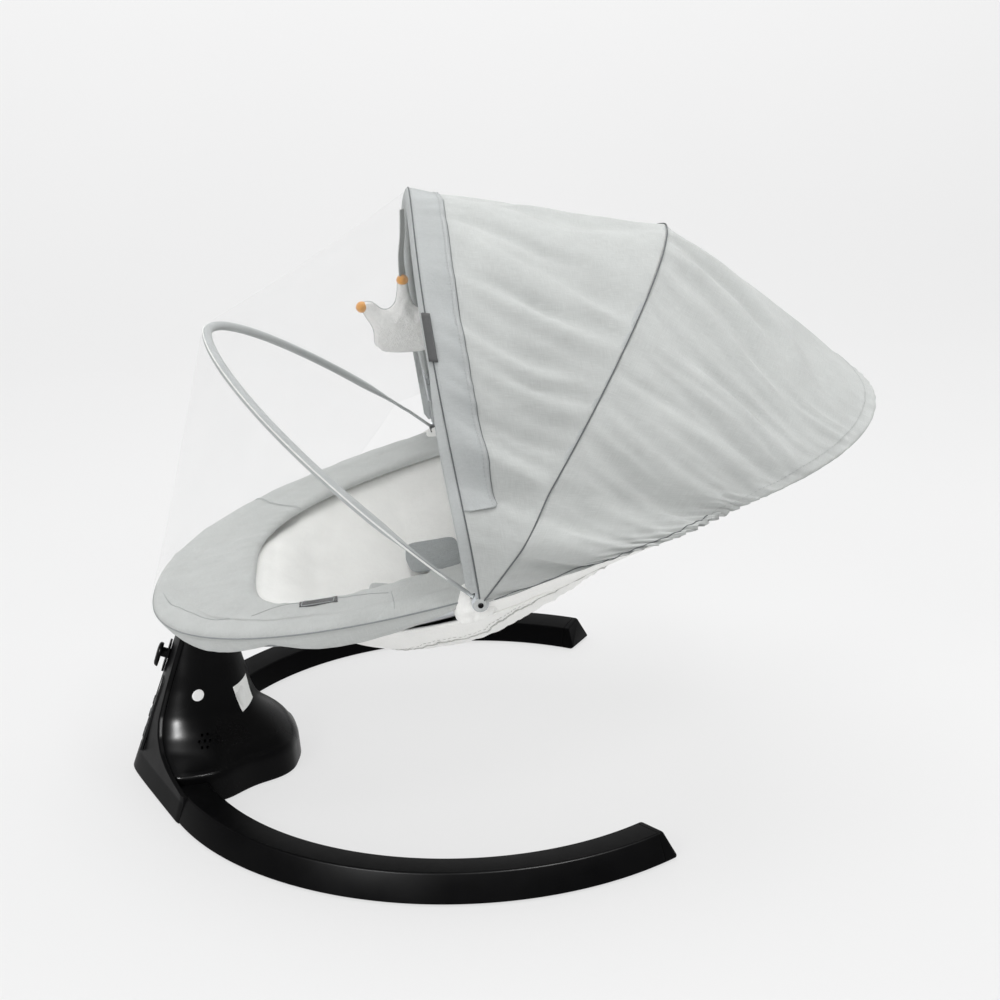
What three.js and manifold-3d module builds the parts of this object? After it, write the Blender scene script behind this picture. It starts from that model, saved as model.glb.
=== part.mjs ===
// Electric baby swing: a C-shaped floor base with a motor tower, a reclined oval seat that
// sways on the tower, a two-rib sun canopy, a net on its own bow and a hanging soft toy.
// Millimetres, +X towards the head end, +Z up, the floor at z = 0.
import * as THREE from 'three';
import { mergeVertices } from 'three/addons/utils/BufferGeometryUtils.js';
import Module from 'manifold-3d';

const wasm = await Module();
wasm.setup();

// ---- driving dimensions -------------------------------------------------------------
const CENTRE_SHIFT = -26.685;     // moves the ring's centre so the whole box is centred on X
const GAP = 0.4;                 // between pieces that touch
const PAD_HEIGHT = 1.5;          // the rubber feet hold the mouldings this far off the floor

// base ring, radii measured from its centre
const RING = { outerFoot: 300, outerTop: 289.9, innerTop: 260.8, innerFoot: 255.6, topOut: 26, topIn: 23.2 };
const LEG_START = 25.2;          // degrees either side of -X, where the legs meet the tower
const LEG_END = 121.0;           // degrees either side of -X, where the end caps begin
const CAP_END = 124.0;

// tower
const TOWER_X = -245;            // the swing shaft's axis
const TOWER_TOP = 150;
const NOSE_X = -326;
const DRAFT = 0.385;             // how far the outer face leans in for each millimetre up
const FASCIA_WALL = 4;
const SHELL_WALL = 3;

// seat: an oval rim in a tilted plane
const SEAT_TILT = THREE.MathUtils.degToRad(14.24);
const SEAT_Z = 258;              // height of the seat plane above the ring's centre
const BACK_RISE = 0.125;         // how much steeper the backrest half climbs than the foot half
const BACK_BEND = 40;            // how softly it bends at the pivots
const RIM = { mid: 52.6, foot: 351.7, head: 300, half: 254, power: 2.28 };
const BAND = 86;                 // width of the flat padded band at the sides
const BAND_FOOT = 100;           // and at the foot end
const TUBE_R = 8;
const TUBE_IN = 24;              // from the rim's edge in to the tube's centre
const TUBE_DOWN = 14.6;          // from the seat plane down to the tube's centre

// canopy and net: arches that all end on the two pivots
const PIVOT = { x: -1, y: 262, z: 255 };
const ARCH = {
  front: { deg: 96.2, reach: 299.5, power: 1.63, bulge: 6.6 },
  mid: { deg: 51.8, reach: 326.5, power: 1.57, bulge: 3.3 },
  hem: { deg: 17.4, reach: 398, power: 3.0, bulge: -6.9 },
  bow: { deg: 141.5, reach: 283, power: 1.78, bulge: 1.2 },
};
const RIB_R = 3.5;
const RIB_IN = 9;                // ribs run this far inside the fabric's outer face
const SKIN = 2;

// ---- helpers ------------------------------------------------------------------------
const V = (x, y, z) => new THREE.Vector3(x, y, z);
const rad = THREE.MathUtils.degToRad;
const lerp = THREE.MathUtils.lerp;
const range = (n) => Array.from({ length: n }, (_, i) => i);
const steps = (a, b, n) => range(n + 1).map((i) => lerp(a, b, i / n));
const powered = (value, power) => Math.sign(value) * Math.abs(value) ** (2 / power);

function capTriangles(loop) {
  const normal = V(0, 0, 0);
  loop.forEach((p, i) => normal.add(V(0, 0, 0).crossVectors(p, loop[(i + 1) % loop.length])));
  normal.normalize();
  const u = Math.abs(normal.x) > 0.9 ? V(0, 1, 0) : V(1, 0, 0);
  u.sub(normal.clone().multiplyScalar(u.dot(normal))).normalize();
  const v = V(0, 0, 0).crossVectors(normal, u);
  const flat = loop.map((p) => new THREE.Vector2(p.dot(u), p.dot(v)));
  const area = (a, b, c) => (b.x - a.x) * (c.y - a.y) - (b.y - a.y) * (c.x - a.x);
  return THREE.ShapeUtils.triangulateShape(flat, []).map(([a, b, c]) =>
    area(flat[a], flat[b], flat[c]) > 0 ? [a, b, c] : [a, c, b]);
}

function facesOut(position, index) {
  let volume = 0;
  const p = (i) => V(position[3 * i], position[3 * i + 1], position[3 * i + 2]);
  for (let i = 0; i < index.length; i += 3) {
    volume += p(index[i]).dot(p(index[i + 1]).cross(p(index[i + 2])));
  }
  return volume > 0;
}

// A closed solid through a row of loops with equal point counts, capped at both ends.
function loft(loops, closed = false) {
  const n = loops[0].length;
  const position = loops.flat().flatMap((p) => [p.x, p.y, p.z]);
  const index = [];
  const last = closed ? loops.length : loops.length - 1;
  for (let i = 0; i < last; i++) {
    const a = i * n;
    const b = ((i + 1) % loops.length) * n;
    for (let j = 0; j < n; j++) {
      const k = (j + 1) % n;
      index.push(a + j, b + j, b + k, a + j, b + k, a + k);
    }
  }
  if (!closed) {
    const end = (loops.length - 1) * n;
    capTriangles(loops[0]).forEach(([a, b, c]) => index.push(a, b, c));
    capTriangles(loops[loops.length - 1]).forEach(([a, b, c]) => index.push(end + a, end + c, end + b));
  }
  if (!facesOut(position, index)) {
    for (let i = 0; i < index.length; i += 3) [index[i], index[i + 1]] = [index[i + 1], index[i]];
  }
  const geometry = new THREE.BufferGeometry();
  geometry.setAttribute('position', new THREE.Float32BufferAttribute(position, 3));
  geometry.setIndex(index);
  return geometry;
}

// A sheet of even thickness: rows of points on one face, the other face a wall away along
// the outward side of each point given by awayFrom.
function sheet(rows, wall, awayFrom) {
  const clamped = (list, i) => list[Math.min(Math.max(i, 0), list.length - 1)];
  const at = (i, j) => clamped(clamped(rows, i), j);
  const inner = rows.map((row, i) => row.map((p, j) => {
    const down = at(i + 1, j).clone().sub(at(i - 1, j));
    const along = at(i, j + 1).clone().sub(at(i, j - 1));
    const normal = V(0, 0, 0).crossVectors(down, along).normalize();
    if (normal.dot(p.clone().sub(awayFrom)) > 0) normal.negate();
    return p.clone().add(normal.multiplyScalar(wall));
  }));
  return loft(rows.map((row, i) => [...row, ...inner[i].slice().reverse()]));
}

function toSolid(geometry) {
  const plain = geometry.clone();
  plain.deleteAttribute('normal');
  plain.deleteAttribute('uv');
  const merged = mergeVertices(plain, 1e-4);
  return new wasm.Manifold(new wasm.Mesh({
    numProp: 3,
    vertProperties: new Float32Array(merged.attributes.position.array),
    triVerts: new Uint32Array(merged.index.array),
  }));
}

function toGeometry(solid) {
  const mesh = solid.getMesh();
  const geometry = new THREE.BufferGeometry();
  geometry.setAttribute('position', new THREE.Float32BufferAttribute(mesh.vertProperties, 3));
  geometry.setIndex([...mesh.triVerts]);
  return geometry;
}

const join = (...parts) => toGeometry(parts.map(toSolid).reduce((a, b) => a.add(b)));
const cut = (body, ...tools) =>
  toGeometry(tools.map(toSolid).reduce((a, b) => a.subtract(b), toSolid(body)));

function moved(geometry, x, y, z, rx = 0, ry = 0, rz = 0) {
  const turn = new THREE.Matrix4().makeRotationFromEuler(new THREE.Euler(rx, ry, rz));
  return geometry.applyMatrix4(turn).translate(x, y, z);
}

const box = (lx, ly, lz, x, y, z) => new THREE.BoxGeometry(lx, ly, lz).translate(x, y, z);

// Cylinders along each axis, given by centre, radius and length.
const rodZ = (r, length, x, y, z, sides = 24) =>
  moved(new THREE.CylinderGeometry(r, r, length, sides), x, y, z, Math.PI / 2);
const rodY = (r, length, x, y, z, sides = 24) =>
  moved(new THREE.CylinderGeometry(r, r, length, sides), x, y, z);

function circle(radius, x = 0, y = 0) {
  const shape = new THREE.Shape();
  shape.absarc(x, y, radius, 0, 2 * Math.PI);
  return shape;
}

// A round bar along a smooth curve through the points.
function tube(points, radius, count, sides = 8) {
  const extrudePath = new THREE.CatmullRomCurve3(points);
  return new THREE.ExtrudeGeometry(circle(radius), {
    steps: count, curveSegments: sides / 2, extrudePath, bevelEnabled: false,
  });
}

function roundedRect(width, height, corner) {
  const [x, y] = [width / 2, height / 2];
  const shape = new THREE.Shape();
  shape.moveTo(-x + corner, -y);
  shape.lineTo(x - corner, -y).absarc(x - corner, -y + corner, corner, -Math.PI / 2, 0);
  shape.lineTo(x, y - corner).absarc(x - corner, y - corner, corner, 0, Math.PI / 2);
  shape.lineTo(-x + corner, y).absarc(-x + corner, y - corner, corner, Math.PI / 2, Math.PI);
  shape.lineTo(-x, -y + corner).absarc(-x + corner, -y + corner, corner, Math.PI, 1.5 * Math.PI);
  return shape;
}

const slab = (shape, depth, curveSegments = 4) =>
  new THREE.ExtrudeGeometry(shape, { depth, curveSegments, bevelEnabled: false });

// ---- the scene graph ----------------------------------------------------------------
const group = new THREE.Group();
group.position.x = CENTRE_SHIFT;

const FINISHES = {
  black: { color: 0x0c0d0e, roughness: 0.38, metalness: 0 },
  dark: { color: 0x202224, roughness: 0.5, metalness: 0 },
  rubber: { color: 0x151515, roughness: 0.85, metalness: 0 },
  steel: { color: 0xb4b7ba, roughness: 0.35, metalness: 0.9 },
  glass: { color: 0x14181c, roughness: 0.12, metalness: 0 },
  grey: { color: 0xbec3c3, roughness: 0.9, metalness: 0 },
  white: { color: 0xefefec, roughness: 0.9, metalness: 0 },
  mesh: { color: 0x80878a, roughness: 0.9, metalness: 0 },
  plush: { color: 0xc9cbcb, roughness: 1, metalness: 0 },
  board: { color: 0x1f5a38, roughness: 0.6, metalness: 0 },
  paper: { color: 0xf4f4f2, roughness: 0.6, metalness: 0 },
};

function place(name, geometry, finish) {
  const mesh = new THREE.Mesh(geometry, new THREE.MeshStandardMaterial(FINISHES[finish]));
  mesh.name = name;
  group.add(mesh);
  return mesh;
}

const SIDES = [['left', 1], ['right', -1]];

// ---- base ring ----------------------------------------------------------------------
const legProfile = (grow = 0) => [
  [RING.outerFoot + grow, PAD_HEIGHT - grow],
  [RING.outerTop + grow, RING.topOut + grow],
  [RING.innerTop - grow, RING.topIn + grow],
  [RING.innerFoot - grow, PAD_HEIGHT - grow],
];

// Sweeps a profile of (radius, height) points about the ring's centre. Angles are degrees
// from -X, positive towards +Y.
function ringSector(profile, from, to, count) {
  return loft(steps(from, to, count).map((deg) => profile.map(([r, z]) =>
    V(-r * Math.cos(rad(deg)), r * Math.sin(rad(deg)), z))));
}

// The leg's tip leans: the bottom edge reaches further round the ring than the top edge.
function legCap(side) {
  const start = legProfile().map(([r, z]) => [r, z, LEG_END + 0.08]);
  const [outerFoot, outerTop, innerTop, innerFoot] = legProfile();
  const end = [
    [outerFoot[0], outerFoot[1], CAP_END - 0.5], [outerTop[0] - 3, outerTop[1] - 4, CAP_END - 2],
    [innerTop[0] + 3, innerTop[1] - 4, CAP_END - 1.6], [innerFoot[0], innerFoot[1], CAP_END],
  ];
  const mid = [
    [outerFoot[0], outerFoot[1], CAP_END - 1], [...outerTop, CAP_END - 2.6],
    [...innerTop, CAP_END - 2.2], [innerFoot[0], innerFoot[1], CAP_END - 0.6],
  ];
  return loft([start, mid, end].map((loop) => loop.map(([r, z, deg]) =>
    V(-r * Math.cos(rad(deg)), side * r * Math.sin(rad(deg)), z))));
}

// A leg is a moulded channel, open underneath, with walls and a solid root and tip.
function leg(side) {
  const outer = ringSector(legProfile(), side * LEG_START, side * LEG_END, 26);
  const hollow = [[293.5, -2], [286.5, 22.5], [264.5, 20], [260, -2]];
  return cut(outer, ringSector(hollow, side * (LEG_START + 4), side * (LEG_END - 3), 18));
}

// Rubber feet: where they sit along a leg in degrees, and their sizes.
const FOOT_PADS = [34, 76, 114];
const FOOT = { ring: 278, r: 8, thick: PAD_HEIGHT - 0.3, postR: 5, post: 8, postMid: 4.6 };

function buildRing() {
  for (const [name, side] of SIDES) {
    const pads = FOOT_PADS.map((deg) =>
      [-FOOT.ring * Math.cos(rad(deg)), FOOT.ring * side * Math.sin(rad(deg))]);
    place(`${name}_leg`, leg(side), 'black');
    place(`${name}_leg_end_cap`, legCap(side), 'black');
    pads.forEach(([x, y], i) => {
      // each pad is a disc with a post that plugs up into the leg's channel
      const disc = rodZ(FOOT.r, FOOT.thick, x, y, FOOT.thick / 2, 12);
      const post = rodZ(FOOT.postR, FOOT.post, x, y, FOOT.postMid, 8);
      place(`${name}_foot_pad_${i + 1}`, join(disc, post), 'rubber');
    });
  }
}

// ---- tower --------------------------------------------------------------------------
// The plan of the tower's outer face: straight flanks that continue the ring and a rounded
// nose, blunter higher up. Inset moves the outline in from the floor's edge.
function prowOutline(inset, z) {
  const noseRadius = lerp(12, 45, Math.min(1, Math.max(0, z - 20) / 45));
  const front = steps(-1, 1, 20).map((t) => {
    const y = 134 * Math.sign(t) * Math.abs(t) ** 1.4;
    return V(NOSE_X + inset + 0.455 * (Math.hypot(y, noseRadius) - noseRadius), y, z);
  });
  return [...front, V(-100, 134, z), V(-100, -134, z)];
}

function prow(inset, low, high) {
  const heights = [low, 20, 42, 65, high].filter((z) => z >= low && z <= high);
  return loft(heights.map((z) => prowOutline(inset + DRAFT * z, z)));
}

// Everything between the two planes where the legs begin.
function rootWedge(deg) {
  const far = 420;
  const shape = new THREE.Shape([[0, 0], [-far, far * Math.tan(rad(deg))], [-far, -far * Math.tan(rad(deg))]]
    .map(([x, y]) => new THREE.Vector2(x, y)));
  return slab(shape, TOWER_TOP + 20).translate(0, 0, -5);
}

// Half-width of the fascia at each height: wide at the floor, a bell shape above it.
const BELL = [
  [-2, 140], [25, 140], [28, 112], [33, 88], [42, 68],
  [54, 54], [70, 45], [95, 39], [125, 35], [TOWER_TOP - 5, 33],
];

function bellMask() {
  const right = BELL.map(([z, y]) => new THREE.Vector2(y, z));
  const left = BELL.slice().reverse().map(([z, y]) => new THREE.Vector2(-y, z));
  const basis = new THREE.Matrix4().makeBasis(V(0, 1, 0), V(0, 0, 1), V(1, 0, 0));
  return slab(new THREE.Shape([...right, ...left]), 120).applyMatrix4(basis).translate(-345, 0, 0);
}

const largest = (solid) => toGeometry(solid.decompose().sort((a, b) => b.volume() - a.volume())[0]);

function fascia(window) {
  return largest(toSolid(prow(0, PAD_HEIGHT, TOWER_TOP))
    .subtract(toSolid(prow(FASCIA_WALL, -2, TOWER_TOP + 2)))
    .intersect(toSolid(bellMask()))
    .intersect(toSolid(rootWedge(LEG_START - 0.1)))
    .subtract(toSolid(window)));
}

// A value read from a table of [height, value] rows, straight between them.
function fromTable(table, z) {
  const i = Math.max(1, table.findIndex(([height]) => height >= z));
  if (z > table[table.length - 1][0]) return table[table.length - 1][1];
  const [[z0, v0], [z1, v1]] = [table[i - 1], table[i]];
  return lerp(v0, v1, (z - z0) / (z1 - z0));
}

// The column's radius by height, the toe's reach by direction, and how much of the toe's
// reach is left at each height.
const COLUMN = [[0, 50], [26, 49], [52, 45], [67, 41.5], [92, 37], [118, 31], [TOWER_TOP, 28]];
const TOE = [[0, 84], [33, 83.5], [47, 76], [60, 74], [80, 86], [110, 78], [180, 62]];
const SWELL = [
  [0, 1], [25, 0.95], [33, 0.84], [42, 0.68], [50, 0.46], [57, 0.24], [66, 0.09], [78, 0.02], [90, 0],
];

function columnLoft(inset, low, high) {
  const heights = [low, 25, 33, 42, 50, 57, 66, 78, 92, 118, high];
  return loft(heights.map((z) => steps(0, 350, 35).map((deg) => {
    const away = Math.min(deg, 360 - deg);
    const column = fromTable(COLUMN, Math.max(z, 0));
    const r = column + (fromTable(TOE, away) - column) * fromTable(SWELL, Math.max(z, 0)) - inset;
    return V(TOWER_X + r * Math.cos(rad(deg)), r * Math.sin(rad(deg)), z);
  })));
}

// The part of the ring's section that the tower shell fills, behind the fascia.
function rootBlock() {
  const hole = moved(new THREE.CylinderGeometry(RING.innerTop + 1.6, RING.innerFoot - 0.6, 30, 72),
    0, 0, 13.5, Math.PI / 2);
  return toSolid(prow(FASCIA_WALL + GAP, PAD_HEIGHT, RING.topIn))
    .subtract(toSolid(hole)).intersect(toSolid(rootWedge(LEG_START - 0.1)));
}

const GRILLE = { x: -250, z: 43 };
const INLET = { x: -239, z: 40 };
const SHAFT_R = 8;
const SHAFT_LOW = 28.5;
const SHAFT_TOP = TOWER_TOP + 5;
const HUB_R = 11.6;

function towerShell() {
  const inside = toSolid(prow(FASCIA_WALL + GAP, -3, TOWER_TOP + 3));
  const whole = toSolid(columnLoft(0, PAD_HEIGHT, TOWER_TOP)).intersect(inside).add(rootBlock());
  const cavity = toSolid(columnLoft(SHELL_WALL, -1, TOWER_TOP - SHELL_WALL))
    .intersect(toSolid(prow(FASCIA_WALL + GAP + SHELL_WALL, -3, TOWER_TOP)));
  const ring = steps(0, 300, 5).map((deg) => [5 * Math.cos(rad(deg)), 5 * Math.sin(rad(deg))]);
  const openings = [
    rodZ(HUB_R + GAP, 20, TOWER_X, 0, TOWER_TOP, 24),
    onFace(roundedRect(PANEL.width + 4, PANEL.height + 12, 4), 32, 0, 0, -34, 2),
    ...[[0, 0], ...ring].map(([dx, dz]) => rodY(1.2, 40, GRILLE.x + dx, -70, GRILLE.z + dz, 8)),
    rodY(4.4, 40, INLET.x, 70, INLET.z, 16),
    onFace(circle(KNOB_STEM + 1.6), 32, 0, KNOB.up, -34, 6),
  ];
  return largest(openings.map(toSolid).reduce((a, b) => a.subtract(b), whole.subtract(cavity)));
}

// The control panel lies on the nose's leaning face. Up runs along the face.
const PANEL = { width: 44, height: 80, mid: 62, wall: 2.4, sunk: 3 };

function onFace(shape, depth, across, up, lift, segments = 4) {
  const lean = Math.atan(DRAFT);
  const upward = V(Math.sin(lean), 0, Math.cos(lean));
  const outward = V(-Math.cos(lean), 0, Math.sin(lean));
  const at = V(NOSE_X + DRAFT * PANEL.mid, -across, PANEL.mid)
    .addScaledVector(upward, up).addScaledVector(outward, lift);
  const basis = new THREE.Matrix4().makeBasis(V(0, -1, 0), upward, outward).setPosition(at);
  return slab(shape, depth, segments).applyMatrix4(basis);
}

const BUTTONS = [
  ['power_button', 0, -28, 5.5], ['speed_up_button', -11, -12, 4.5], ['speed_down_button', 11, -12, 4.5],
  ['timer_button', -11, 2, 4.5], ['music_button', 11, 2, 4.5],
];
const DISPLAY = { width: 26, height: 20, up: 23 };
const KNOB = { up: 58, r: 8 };
const KNOB_STEM = 5;

function buildTower() {
  const window = join(
    onFace(roundedRect(PANEL.width + 2 * GAP, PANEL.height + 2 * GAP, 6), 20, 0, 0, -10),
    onFace(circle(KNOB_STEM + GAP), 20, 0, KNOB.up, -10, 6),
  );
  place('front_fascia', fascia(window), 'black');
  place('tower_shell', towerShell(), 'black');

  const plate = roundedRect(PANEL.width, PANEL.height, 5.5);
  BUTTONS.forEach(([, across, up, r]) => plate.holes.push(circle(r + GAP, across, up)));
  const displayHole = roundedRect(DISPLAY.width + 2 * GAP, DISPLAY.height + 2 * GAP, 2)
    .getPoints(3).map((p) => p.add(new THREE.Vector2(0, DISPLAY.up)));
  plate.holes.push(new THREE.Path(displayHole));
  place('control_panel', onFace(plate, PANEL.wall, 0, 0, -PANEL.sunk, 6), 'dark');
  place('display_window',
    onFace(roundedRect(DISPLAY.width, DISPLAY.height, 1.6), 2, 0, DISPLAY.up, -PANEL.sunk), 'glass');
  BUTTONS.forEach(([name, across, up, r]) => place(name, onFace(circle(r), 7.4, across, up, -7, 6), 'dark'));
  place('main_board', onFace(roundedRect(40, 66, 1), 1.4, 0, -2, -10.4, 1), 'board');

  const knobPlate = onFace(roundedRect(20, 30, 5), 2, 0, KNOB.up - 2, 0.6);
  place('knob_plate', cut(knobPlate, onFace(circle(KNOB_STEM + GAP), 20, 0, KNOB.up, -10, 6)), 'black');
  const stem = onFace(circle(KNOB_STEM), 12, 0, KNOB.up, -4, 6);
  place('release_knob', join(stem, onFace(circle(KNOB.r), 4, 0, KNOB.up, 8, 8)), 'black');

  const plateIn = FASCIA_WALL + 2 * GAP + SHELL_WALL;
  place('base_plate', largest(toSolid(columnLoft(SHELL_WALL + GAP, -1, TOWER_TOP - 8))
    .intersect(toSolid(prow(plateIn, -3, TOWER_TOP))).intersect(toSolid(box(300, 300, 2.4, TOWER_X, 0, 2.9)))
    .add(toSolid(rodZ(16, 26, TOWER_X, 0, 14.5)))), 'dark');
  const padThick = PAD_HEIGHT - 0.1;
  for (const [name, ahead] of [['front', -44], ['toe', 64]]) {
    const pad = rodZ(9, padThick, TOWER_X + ahead, 0, padThick / 2, 16);
    place(`tower_foot_pad_${name}`, pad, 'rubber');
  }

  const inletBody = cut(rodY(4, 14, INLET.x, 66, INLET.z, 16), rodY(2.4, 10, INLET.x, 69, INLET.z, 12));
  place('power_inlet', inletBody, 'steel');
  place('speaker', rodY(8, 6, GRILLE.x, -48, GRILLE.z, 16), 'dark');

  const bearing = (outer, low, high) => {
    const mid = (low + high) / 2;
    const bore = rodZ(SHAFT_R + 0.3, high - low + 2, TOWER_X, 0, mid);
    return cut(rodZ(outer, high - low, TOWER_X, 0, mid), bore);
  };
  place('lower_bearing', bearing(14, 28, 36), 'steel');
  place('upper_bearing', bearing(HUB_R, TOWER_TOP - 10, TOWER_TOP - GAP), 'steel');
}

// ---- drive: motor, crank and rod that rock the swing shaft -----------------------------
const LEVER = { reach: 26, z: 45 };
const CRANK = { x: TOWER_X + 32, throw: 5.2, pinR: 2 };
CRANK.y = -LEVER.reach + CRANK.throw;

function eyeBar(x1, y1, x2, y2, r, holes, z, depth) {
  const angle = Math.atan2(y2 - y1, x2 - x1);
  const shape = new THREE.Shape();
  shape.absarc(x1, y1, r, angle + Math.PI / 2, angle + 1.5 * Math.PI);
  shape.absarc(x2, y2, r, angle - Math.PI / 2, angle + Math.PI / 2);
  holes.forEach(([hx, hy, hr]) => shape.holes.push(circle(hr, hx, hy)));
  return slab(shape, depth, 8).translate(0, 0, z);
}

function buildDrive() {
  const pinX = CRANK.x;
  const pinY = -LEVER.reach;
  place('gearbox', box(30, 26, 34, CRANK.x + 1, CRANK.y, 23), 'dark');
  place('drive_motor', rodZ(12, 34, CRANK.x + 14, CRANK.y + 30, 24), 'steel');
  const crankPin = rodZ(CRANK.pinR, 8, pinX, pinY, LEVER.z + 3.5, 12);
  place('crank_disc', join(rodZ(8, 3, CRANK.x, CRANK.y, LEVER.z + 1), crankPin), 'steel');
  const rod = eyeBar(TOWER_X, pinY, pinX, pinY, 5.4,
    [[TOWER_X, pinY, 2.4], [pinX, pinY + 0.6, CRANK.pinR + 1.4]], LEVER.z + 3.4, 2.6);
  place('connecting_rod', rod, 'steel');
  const lever = eyeBar(TOWER_X, 0, TOWER_X, pinY, 5, [], LEVER.z, 3);
  const shaft = join(
    rodZ(SHAFT_R, SHAFT_TOP - SHAFT_LOW, TOWER_X, 0, (SHAFT_TOP + SHAFT_LOW) / 2),
    rodZ(11, 5, TOWER_X, 0, LEVER.z + 1.5), lever, rodZ(2, 8, TOWER_X, pinY, LEVER.z + 3.5, 12));
  place('swing_shaft', shaft, 'steel');
}

// ---- seat -----------------------------------------------------------------------------
// A point of the tilted seat: along (head end positive), across, and height off its plane.
function onSeat(along, across, up) {
  const rise = along > 0 ? BACK_RISE * (Math.hypot(along, BACK_BEND) - BACK_BEND) : 0;
  return V(along * Math.cos(SEAT_TILT) - up * Math.sin(SEAT_TILT), across,
    SEAT_Z + along * Math.sin(SEAT_TILT) + up * Math.cos(SEAT_TILT) + rise);
}

// The rim's outline, moved in by an inset: [along, across] at an angle from the head end.
function rimAt(angle, inset) {
  const reach = (Math.cos(angle) > 0 ? RIM.head : RIM.foot) - inset;
  const along = RIM.mid + reach * powered(Math.cos(angle), RIM.power);
  return [along, (RIM.half - inset) * powered(Math.sin(angle), RIM.power)];
}

// Half-width of the inset outline at a place along the seat.
function halfWidth(along, inset) {
  const reach = (along > RIM.mid ? RIM.head : RIM.foot) - inset;
  const share = Math.min(1, Math.abs(along - RIM.mid) / reach);
  return (RIM.half - inset) * (1 - share ** RIM.power) ** (1 / RIM.power);
}

const rimAngles = (count) => steps(0, 360, count).slice(0, count).map(rad);

// Depth of the white sling under the seat plane along its middle, by place along the seat.
const SLING = [
  [-400, 30], [-200, 30], [-150, 68], [-70, 104], [-10, 115], [40, 104],
  [90, 82], [135, 58], [200, 40], [300, 28], [500, 28],
];
const SLING_WALL = 3;
const SLING_EDGE = 28;
const SLING_IN = 16;
const HEAD_TUCK = 0.07;          // the sling and pad draw in by this share under the canopy
const FOOT_PANEL = 96;           // length of the flat panel that the sling and pad stop short of
const PAD_WALL = 10;
const PAD_IN = 74;
const PAD_EDGE = 7;              // how far under the seat plane the pad's rim lies
const EDGE_ROLL = 0.2;           // share of a bowl's reach over which its edge turns level

function slingDepth(along, across) {
  const share = Math.min(1, Math.abs(across) / Math.max(1, halfWidth(along, SLING_IN)));
  return SLING_EDGE + (fromTable(SLING, along) - SLING_EDGE) * (1 - share ** 2.2);
}

function padDepth(along, across) {
  const share = Math.min(1, Math.abs(across) / Math.max(1, halfWidth(along, PAD_IN)));
  const middle = Math.max(8, fromTable(SLING, along) - SLING_WALL - PAD_WALL - 6);
  return PAD_EDGE + (middle - PAD_EDGE) * (1 - share ** 2.2);
}

// A bowl of even wall: rings from the middle of its top face out to the edge, round it and
// back to the middle underneath.
function bowl(inset, depth, edgeDepth, wall, count, rings) {
  const footShare = (RIM.foot - Math.max(inset, FOOT_PANEL)) / (RIM.foot - inset);
  const ringAt = (share, under) => rimAngles(count).map((angle) => {
    const [edge, across] = rimAt(angle, inset);
    const along = edge < RIM.mid ? lerp(RIM.mid, edge, footShare) : edge;
    const tuck = 1 - HEAD_TUCK * THREE.MathUtils.smoothstep(edge, 0, 140);
    const a = RIM.mid + (along - RIM.mid) * share * tuck;
    const b = across * share * tuck;
    // the bowl comes up to one even depth all round its edge
    const lift = Math.min(1, (1 - share) / EDGE_ROLL) ** 0.6;
    return onSeat(a, b, -lerp(edgeDepth, depth(a, b), lift) - under);
  });
  const shares = steps(0.04, 1, rings).map((t) => Math.sin(t * Math.PI / 2) ** 0.9);
  return loft([...shares.map((t) => ringAt(t, 0)), ...shares.slice().reverse().map((t) => ringAt(t, wall))]);
}

// The rim cover: a flat padded band over the tube, with pouches that hang outside the tube on
// the foot half: one pair beside the tower and a longer pair at the thighs. Each pouch is
// [start, lowest point, end, depth], in degrees round from the foot end.
const POUCHES = [[20, 36, 52, 18], [50, 62, 80, 20]];

function skirtDepth(angle) {
  const away = Math.abs(THREE.MathUtils.radToDeg(angle) - 180);
  const depths = POUCHES.map(([start, low, end, depth]) => {
    const share = away < low ? (away - start) / (low - start) : (end - away) / (end - low);
    return depth * Math.sin(Math.min(1, Math.max(0, share)) * Math.PI / 2) ** 0.8;
  });
  return Math.max(...depths);
}

// A section of the cover as [inset, height off the plane].
function coverSection(skirt, band) {
  const drop = -8 - skirt * 0.6;
  const wide = Math.min(1, skirt / 12);
  return [[0, -1], [0.5, lerp(-4, -9, wide)], [lerp(1, 4, wide), drop], [lerp(3.6, 7, wide), drop],
    [lerp(3.9, 5, wide), lerp(-6.6, -9, wide)], [lerp(4.4, 8, wide), -5.6], [band, -5.6], [band, 0], [2, 0]];
}

const HUB_NOTCH = 31;

function seatCover() {
  const loops = rimAngles(72).map((angle) => {
    const band = lerp(BAND, BAND_FOOT, Math.max(0, -Math.cos(angle)) ** 2);
    return coverSection(skirtDepth(angle), band).map(([inset, up]) => {
      const [along, across] = rimAt(angle, inset);
      return onSeat(along, across, up);
    });
  });
  const notch = (side) => box(HUB_NOTCH, 40, 40, PIVOT.x, side * (RIM.half - 9), SEAT_Z - 17);
  const clamp = (side) => sleeve(side, 12, 24);
  return largest([notch(1), notch(-1), clamp(1), clamp(-1)].map(toSolid)
    .reduce((a, b) => a.subtract(b), toSolid(loft(loops, true))));
}

function tubePath(from, to, count) {
  return steps(from, to, count).map((deg) => {
    const [along, across] = rimAt(rad(deg), TUBE_IN);
    return onSeat(along, across, -TUBE_DOWN);
  });
}

// Where the two seat tubes meet, as an angle from the head end.
const PIVOT_DEG = 96.87;

// A short round bar along the seat's tube at one pivot.
function sleeve(side, radius, half) {
  const points = steps(-half, half, 4).map((along) => {
    const across = halfWidth(along, TUBE_IN);
    return onSeat(along, side * across, -TUBE_DOWN);
  });
  return tube(points, radius, 4, 10);
}

function strapOnPad(fromAlong, toAlong, y, width, lift, wall) {
  const rows = steps(fromAlong, toAlong, 8).map((along) => steps(-0.5, 0.5, 3).map((t) =>
    onSeat(along, y + t * width, lift + wall - padDepth(along, y + t * width))));
  return sheet(rows, wall, V(0, 0, 900));
}

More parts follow.
